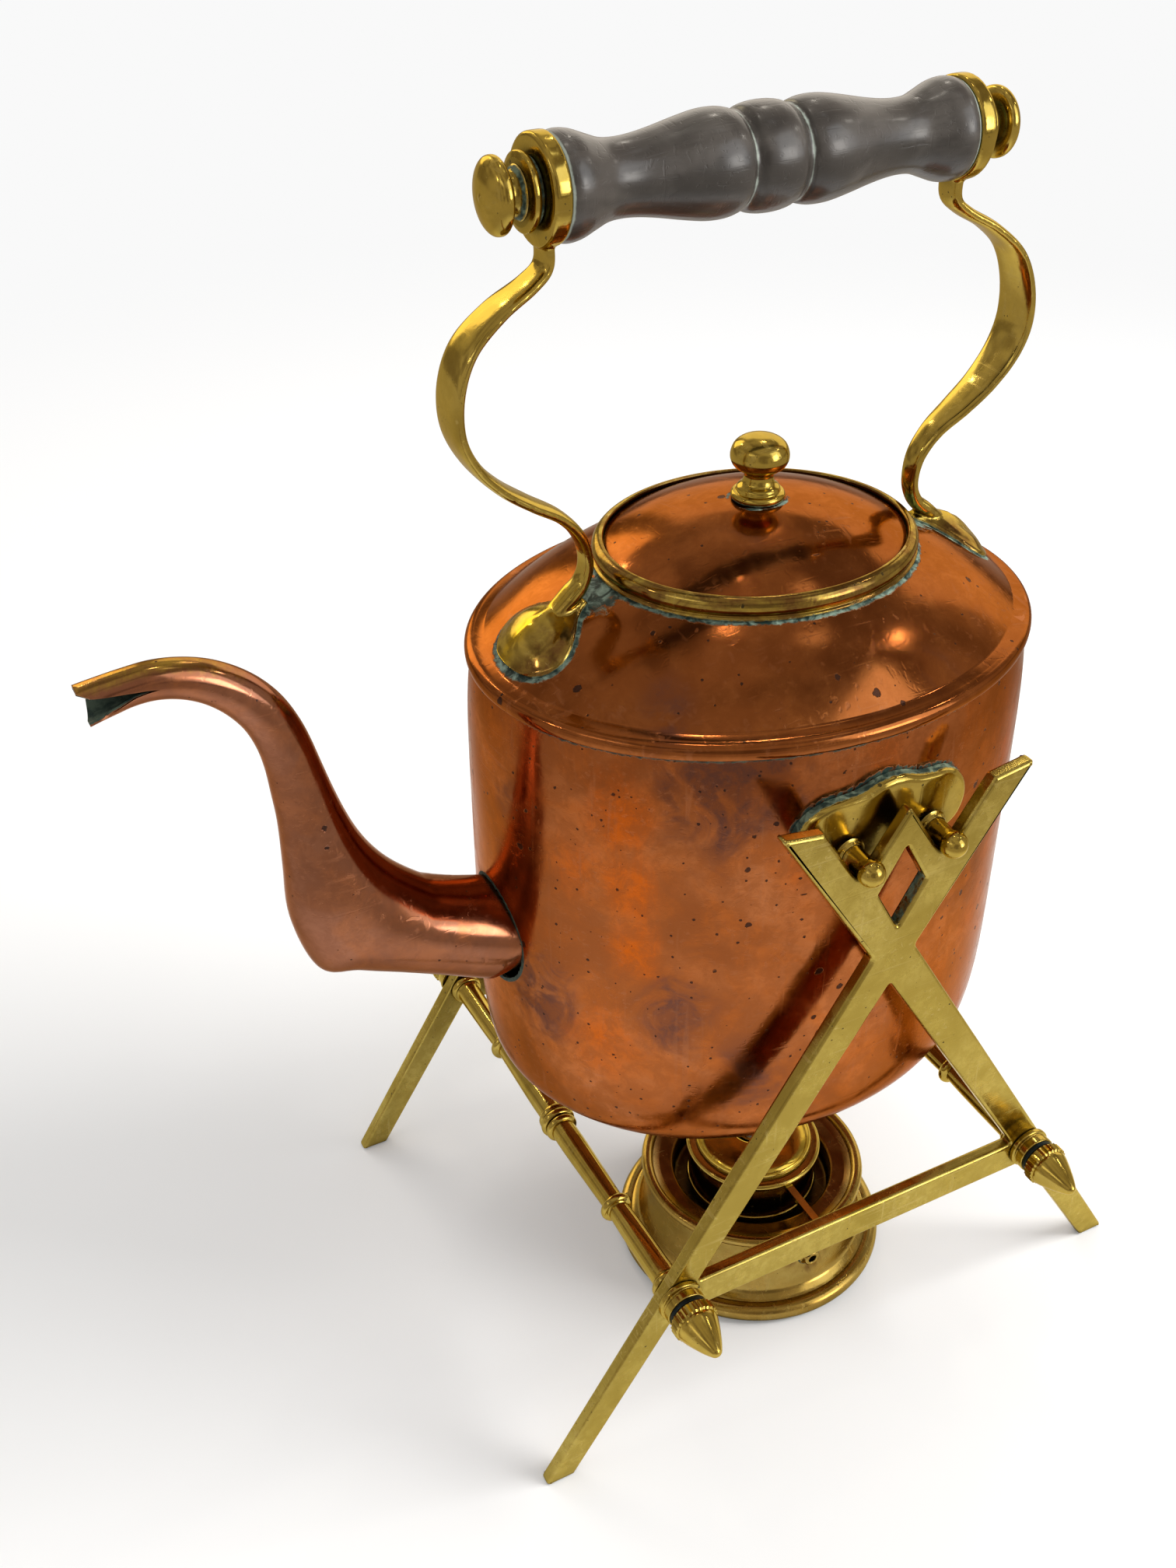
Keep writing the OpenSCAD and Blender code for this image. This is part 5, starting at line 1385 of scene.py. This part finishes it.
def strand(r, angle, reach, thick):   # r from the wick's middle, up to the height of reach
    rings = []
    for k in range(wickSizes["steps"]):
        t = k / (wickSizes["steps"] - 1)
        z = wickSizes["low"] + (reach - wickSizes["low"]) * t
        a = angle + wickSizes["twist"] * t
        wobble = wickSizes["wobble"] * math.sin(9 * t + 5 * angle)
        cx, cy = (r + wobble) * math.cos(a), (r + wobble) * math.sin(a)
        narrow = thick * (1 - 0.5 * max(0, t - 0.96) / 0.04)   # each strand thins out at its tip
        ring = []
        for j in range(wickSizes["sides"]):
            b = 2 * math.pi * j / wickSizes["sides"]
            spot = Vector((cx + 3 * math.cos(b), cy + 3 * math.sin(b), z * 1.7))
            fluff = 1 + wickSizes["fluff"] * noise.noise(spot)
            ring.append((cx + narrow * fluff * math.cos(b), cy + narrow * fluff * math.sin(b), z))
        rings.append(ring)
    return tube(rings)


strands = [strand(0, 0, 43.0, 0.95)]
strands += [strand(1.75, math.pi / 3 * k, 42.7 - 0.4 * (k % 3), 0.92) for k in range(6)]
strands += [strand(3.4, math.pi / 6 * k, 42.8 - 0.35 * (k % 4), 0.93) for k in range(12)]
addPiece("cottonWick", lampPlaced(joined(*strands)), "lamp", ["wick"], cotton, crease=60,
         browningAndShade=lambda x, y, z: max(0.0, (z - 40.6) / 2.2))
print("lamp made")


# Nodes that keep their own mesh
carried = {"grip_rod": brass, "lid_skirt": shoulderCopper, "lid_knob_nut": brass, "lamp_bottom": lampBrass,
           "regulator_lever": brass}
for node, finish in carried.items():
    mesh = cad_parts[node].data
    mesh.materials.clear()
    mesh.materials.append(finish)
print("carried nodes finished")


# Camera at the photograph's angle
cameraView = {"azimuth": -27.14, "elevation": 34.73, "roll": -0.47, "distance": 0.4301,
              "target": (-0.04712, 0.0, 0.17391), "lens": 38.40}


def addCamera(look):
    a, e, r = (math.radians(look[key]) for key in ("azimuth", "elevation", "roll"))
    back = Vector((math.sin(a) * math.cos(e), -math.cos(a) * math.cos(e), math.sin(e)))
    right = Vector((math.cos(a), math.sin(a), 0))
    up = back.cross(right)
    across = right * math.cos(r) + up * math.sin(r)
    upward = up * math.cos(r) - right * math.sin(r)
    target = Vector(look["target"]) + Vector((shared["shift"] / 1000, 0, 0))
    place = target + back * look["distance"]
    data = bpy.data.cameras.new("camera")
    data.sensor_fit, data.sensor_height, data.lens = "VERTICAL", 36.0, look["lens"]
    data.clip_start, data.clip_end = 0.01, 50
    camera = bpy.data.objects.new("camera", data)
    bpy.context.scene.collection.objects.link(camera)
    turn = Matrix((across, upward, back)).transposed()
    camera.matrix_world = Matrix.Translation(place) @ turn.to_4x4()
    bpy.context.scene.camera = camera


addCamera(cameraView)

# Pale floor, soft lamps and a pale room
studio = {
    "floorColour": (0.82, 0.82, 0.82), "floorLift": 0.10, "floorSize": 6.0, "fadeFrom": 0.36, "fadeTo": 1.1,
    "background": 0.947, "ambient": 0.62, "mirrorFrom": 0.14, "mirrorTo": 0.46,
    "lamps": [   # name, place, width, depth, watts, colour, seen in reflections
        ("keyBox", (1.25, -0.62, 1.0), 0.8, 0.8, 27, (1.0, 0.99, 0.97), False),
        ("backBox", (0.1, 1.2, 1.1), 0.7, 0.4, 4, (1.0, 0.96, 0.90), False),
        ("glintOne", (0.45, 0.50, 1.05), 0.05, 0.05, 0.25, (1.0, 0.92, 0.8), True),
        ("glintTwo", (-0.20, 0.85, 0.95), 0.04, 0.04, 0.22, (1.0, 0.92, 0.8), True),
        ("glintThree", (0.12, 0.15, 1.3), 0.04, 0.04, 0.22, (1.0, 0.92, 0.8), True),
        ("glintFour", (0.85, -0.25, 1.0), 0.05, 0.05, 0.25, (1.0, 0.94, 0.84), True),
        ("glintFive", (-0.9, 0.1, 0.75), 0.05, 0.05, 0.25, (1.0, 0.92, 0.8), True),
    ],
    "roomBase": (0.50, 0.445, 0.375), "roomDark": (0.24, 0.20, 0.165),
    "cards": [   # bright panels of the room: middle azimuth, half width, lowest and highest sine, colour
        (43, 36, 0.02, 0.60, (1.35, 1.22, 1.05)),
        (97, 13, 0.06, 0.62, (2.5, 2.15, 1.4)),
        (-52, 20, 0.0, 0.74, (1.9, 1.95, 2.0)),
        (-18, 7, 0.88, 0.96, (1.6, 1.6, 1.6)),
        (-160, 14, 0.45, 0.62, (1.5, 1.45, 1.4)),
        (-57, 9, 0.03, 0.38, (7.0, 6.8, 6.5)),
    ],
}


def seenRays(tree):   # 1 for the rays that should see the pale background
    rays = addNode(tree, "ShaderNodeLightPath")
    seen = calc(tree, "MAXIMUM", rays.outputs["Is Camera Ray"], rays.outputs["Is Transmission Ray"])
    return seen, rays.outputs["Is Glossy Ray"]


def addFloor(look):
    half = look["floorSize"] / 2
    work = bmesh.new()
    bmesh.ops.create_grid(work, x_segments=24, y_segments=24, size=half)
    mesh = bpy.data.meshes.new("floor")
    work.to_mesh(mesh)
    work.free()
    floor = bpy.data.objects.new("floor", mesh)
    bpy.context.scene.collection.objects.link(floor)
    paper = bpy.data.materials.new("palePaper")
    paper.use_nodes = True
    tree = paper.node_tree
    shader = tree.nodes["Principled BSDF"]
    shader.inputs["Base Color"].default_value = (*look["floorColour"], 1)
    shader.inputs["Roughness"].default_value = 0.9
    shader.inputs["Specular IOR Level"].default_value = 0.1
    seen, glossy = seenRays(tree)
    where = addNode(tree, "ShaderNodeTexCoord").outputs["Object"]
    away = addNode(tree, "ShaderNodeVectorMath", {"operation": "LENGTH"}, {0: where}).outputs["Value"]
    far = span(tree, away, look["fadeFrom"], look["fadeTo"])
    shader.inputs["Emission Strength"].default_value = 1.0
    plug(tree, shader.inputs["Emission Color"], mixColour(tree, seen, (0.0, 0.0, 0.0), (look["floorLift"],) * 3))
    farShade = mixColour(tree, glossy, (look["background"],) * 3, look["roomBase"])
    paleFar = addNode(tree, "ShaderNodeEmission", {}, {"Color": farShade, "Strength": 1.0})
    mirrored = times(tree, span(tree, away, look["mirrorFrom"], look["mirrorTo"]), glossy)
    part = calc(tree, "MAXIMUM", times(tree, far, seen), mirrored)
    fade = addNode(tree, "ShaderNodeMixShader", {}, {0: part, 1: shader.outputs[0], 2: paleFar.outputs[0]})
    tree.links.new(fade.outputs[0], tree.nodes["Material Output"].inputs["Surface"])
    mesh.materials.append(paper)


def addLamps(look):
    aim = Vector((shared["shift"] / 1000, 0, 0.16))
    for name, place, wide, deep, watts, tint, mirrored in look["lamps"]:
        data = bpy.data.lights.new(name, "AREA")
        data.shape, data.size, data.size_y = "RECTANGLE", wide, deep
        data.energy, data.color = watts, tint
        lamp = bpy.data.objects.new(name, data)
        bpy.context.scene.collection.objects.link(lamp)
        lamp.location = place
        lamp.rotation_euler = (aim - Vector(place)).to_track_quat("-Z", "Y").to_euler()
        lamp.visible_camera = False
        lamp.visible_glossy = mirrored


def addRoom(look):   # the pale background, and the dim warm room that polished metal mirrors
    world = bpy.data.worlds.new("room")
    bpy.context.scene.world = world
    world.use_nodes = True
    tree = world.node_tree
    back = tree.nodes["Background"]
    way = addNode(tree, "ShaderNodeTexCoord").outputs["Generated"]
    x, y, z = addNode(tree, "ShaderNodeSeparateXYZ", {}, {0: way}).outputs
    patches = noiseOf(tree, way, 2.2, 2.0, 0.5, 0.6)
    room = mixColour(tree, span(tree, patches, 0.42, 0.58), look["roomDark"], look["roomBase"])
    for azimuth, half, low, high, tint in look["cards"]:
        c, s = math.cos(math.radians(azimuth)), math.sin(math.radians(azimuth))
        ahead = calc(tree, "ADD", times(tree, x, c), times(tree, y, s))
        aside = calc(tree, "SUBTRACT", times(tree, y, c), times(tree, x, s))
        turn = calc(tree, "ABSOLUTE", calc(tree, "ARCTAN2", aside, ahead))
        wide = math.radians(half)
        card = times(tree, span(tree, turn, wide * 0.85, wide, 1.0, 0.0), calc(
            tree, "MULTIPLY", span(tree, z, low, low + 0.03), span(tree, z, high - 0.03, high, 1.0, 0.0)))
        room = mixColour(tree, card, room, tint)
    seen, glossy = seenRays(tree)
    shade = mixColour(tree, glossy, (look["ambient"],) * 3, room)
    shade = mixColour(tree, seen, shade, (look["background"],) * 3)
    plug(tree, back.inputs["Color"], shade)
    back.inputs["Strength"].default_value = 1.0


addFloor(studio)
addLamps(studio)
addRoom(studio)
bpy.context.scene.view_settings.view_transform = "Standard"
print("stage set")
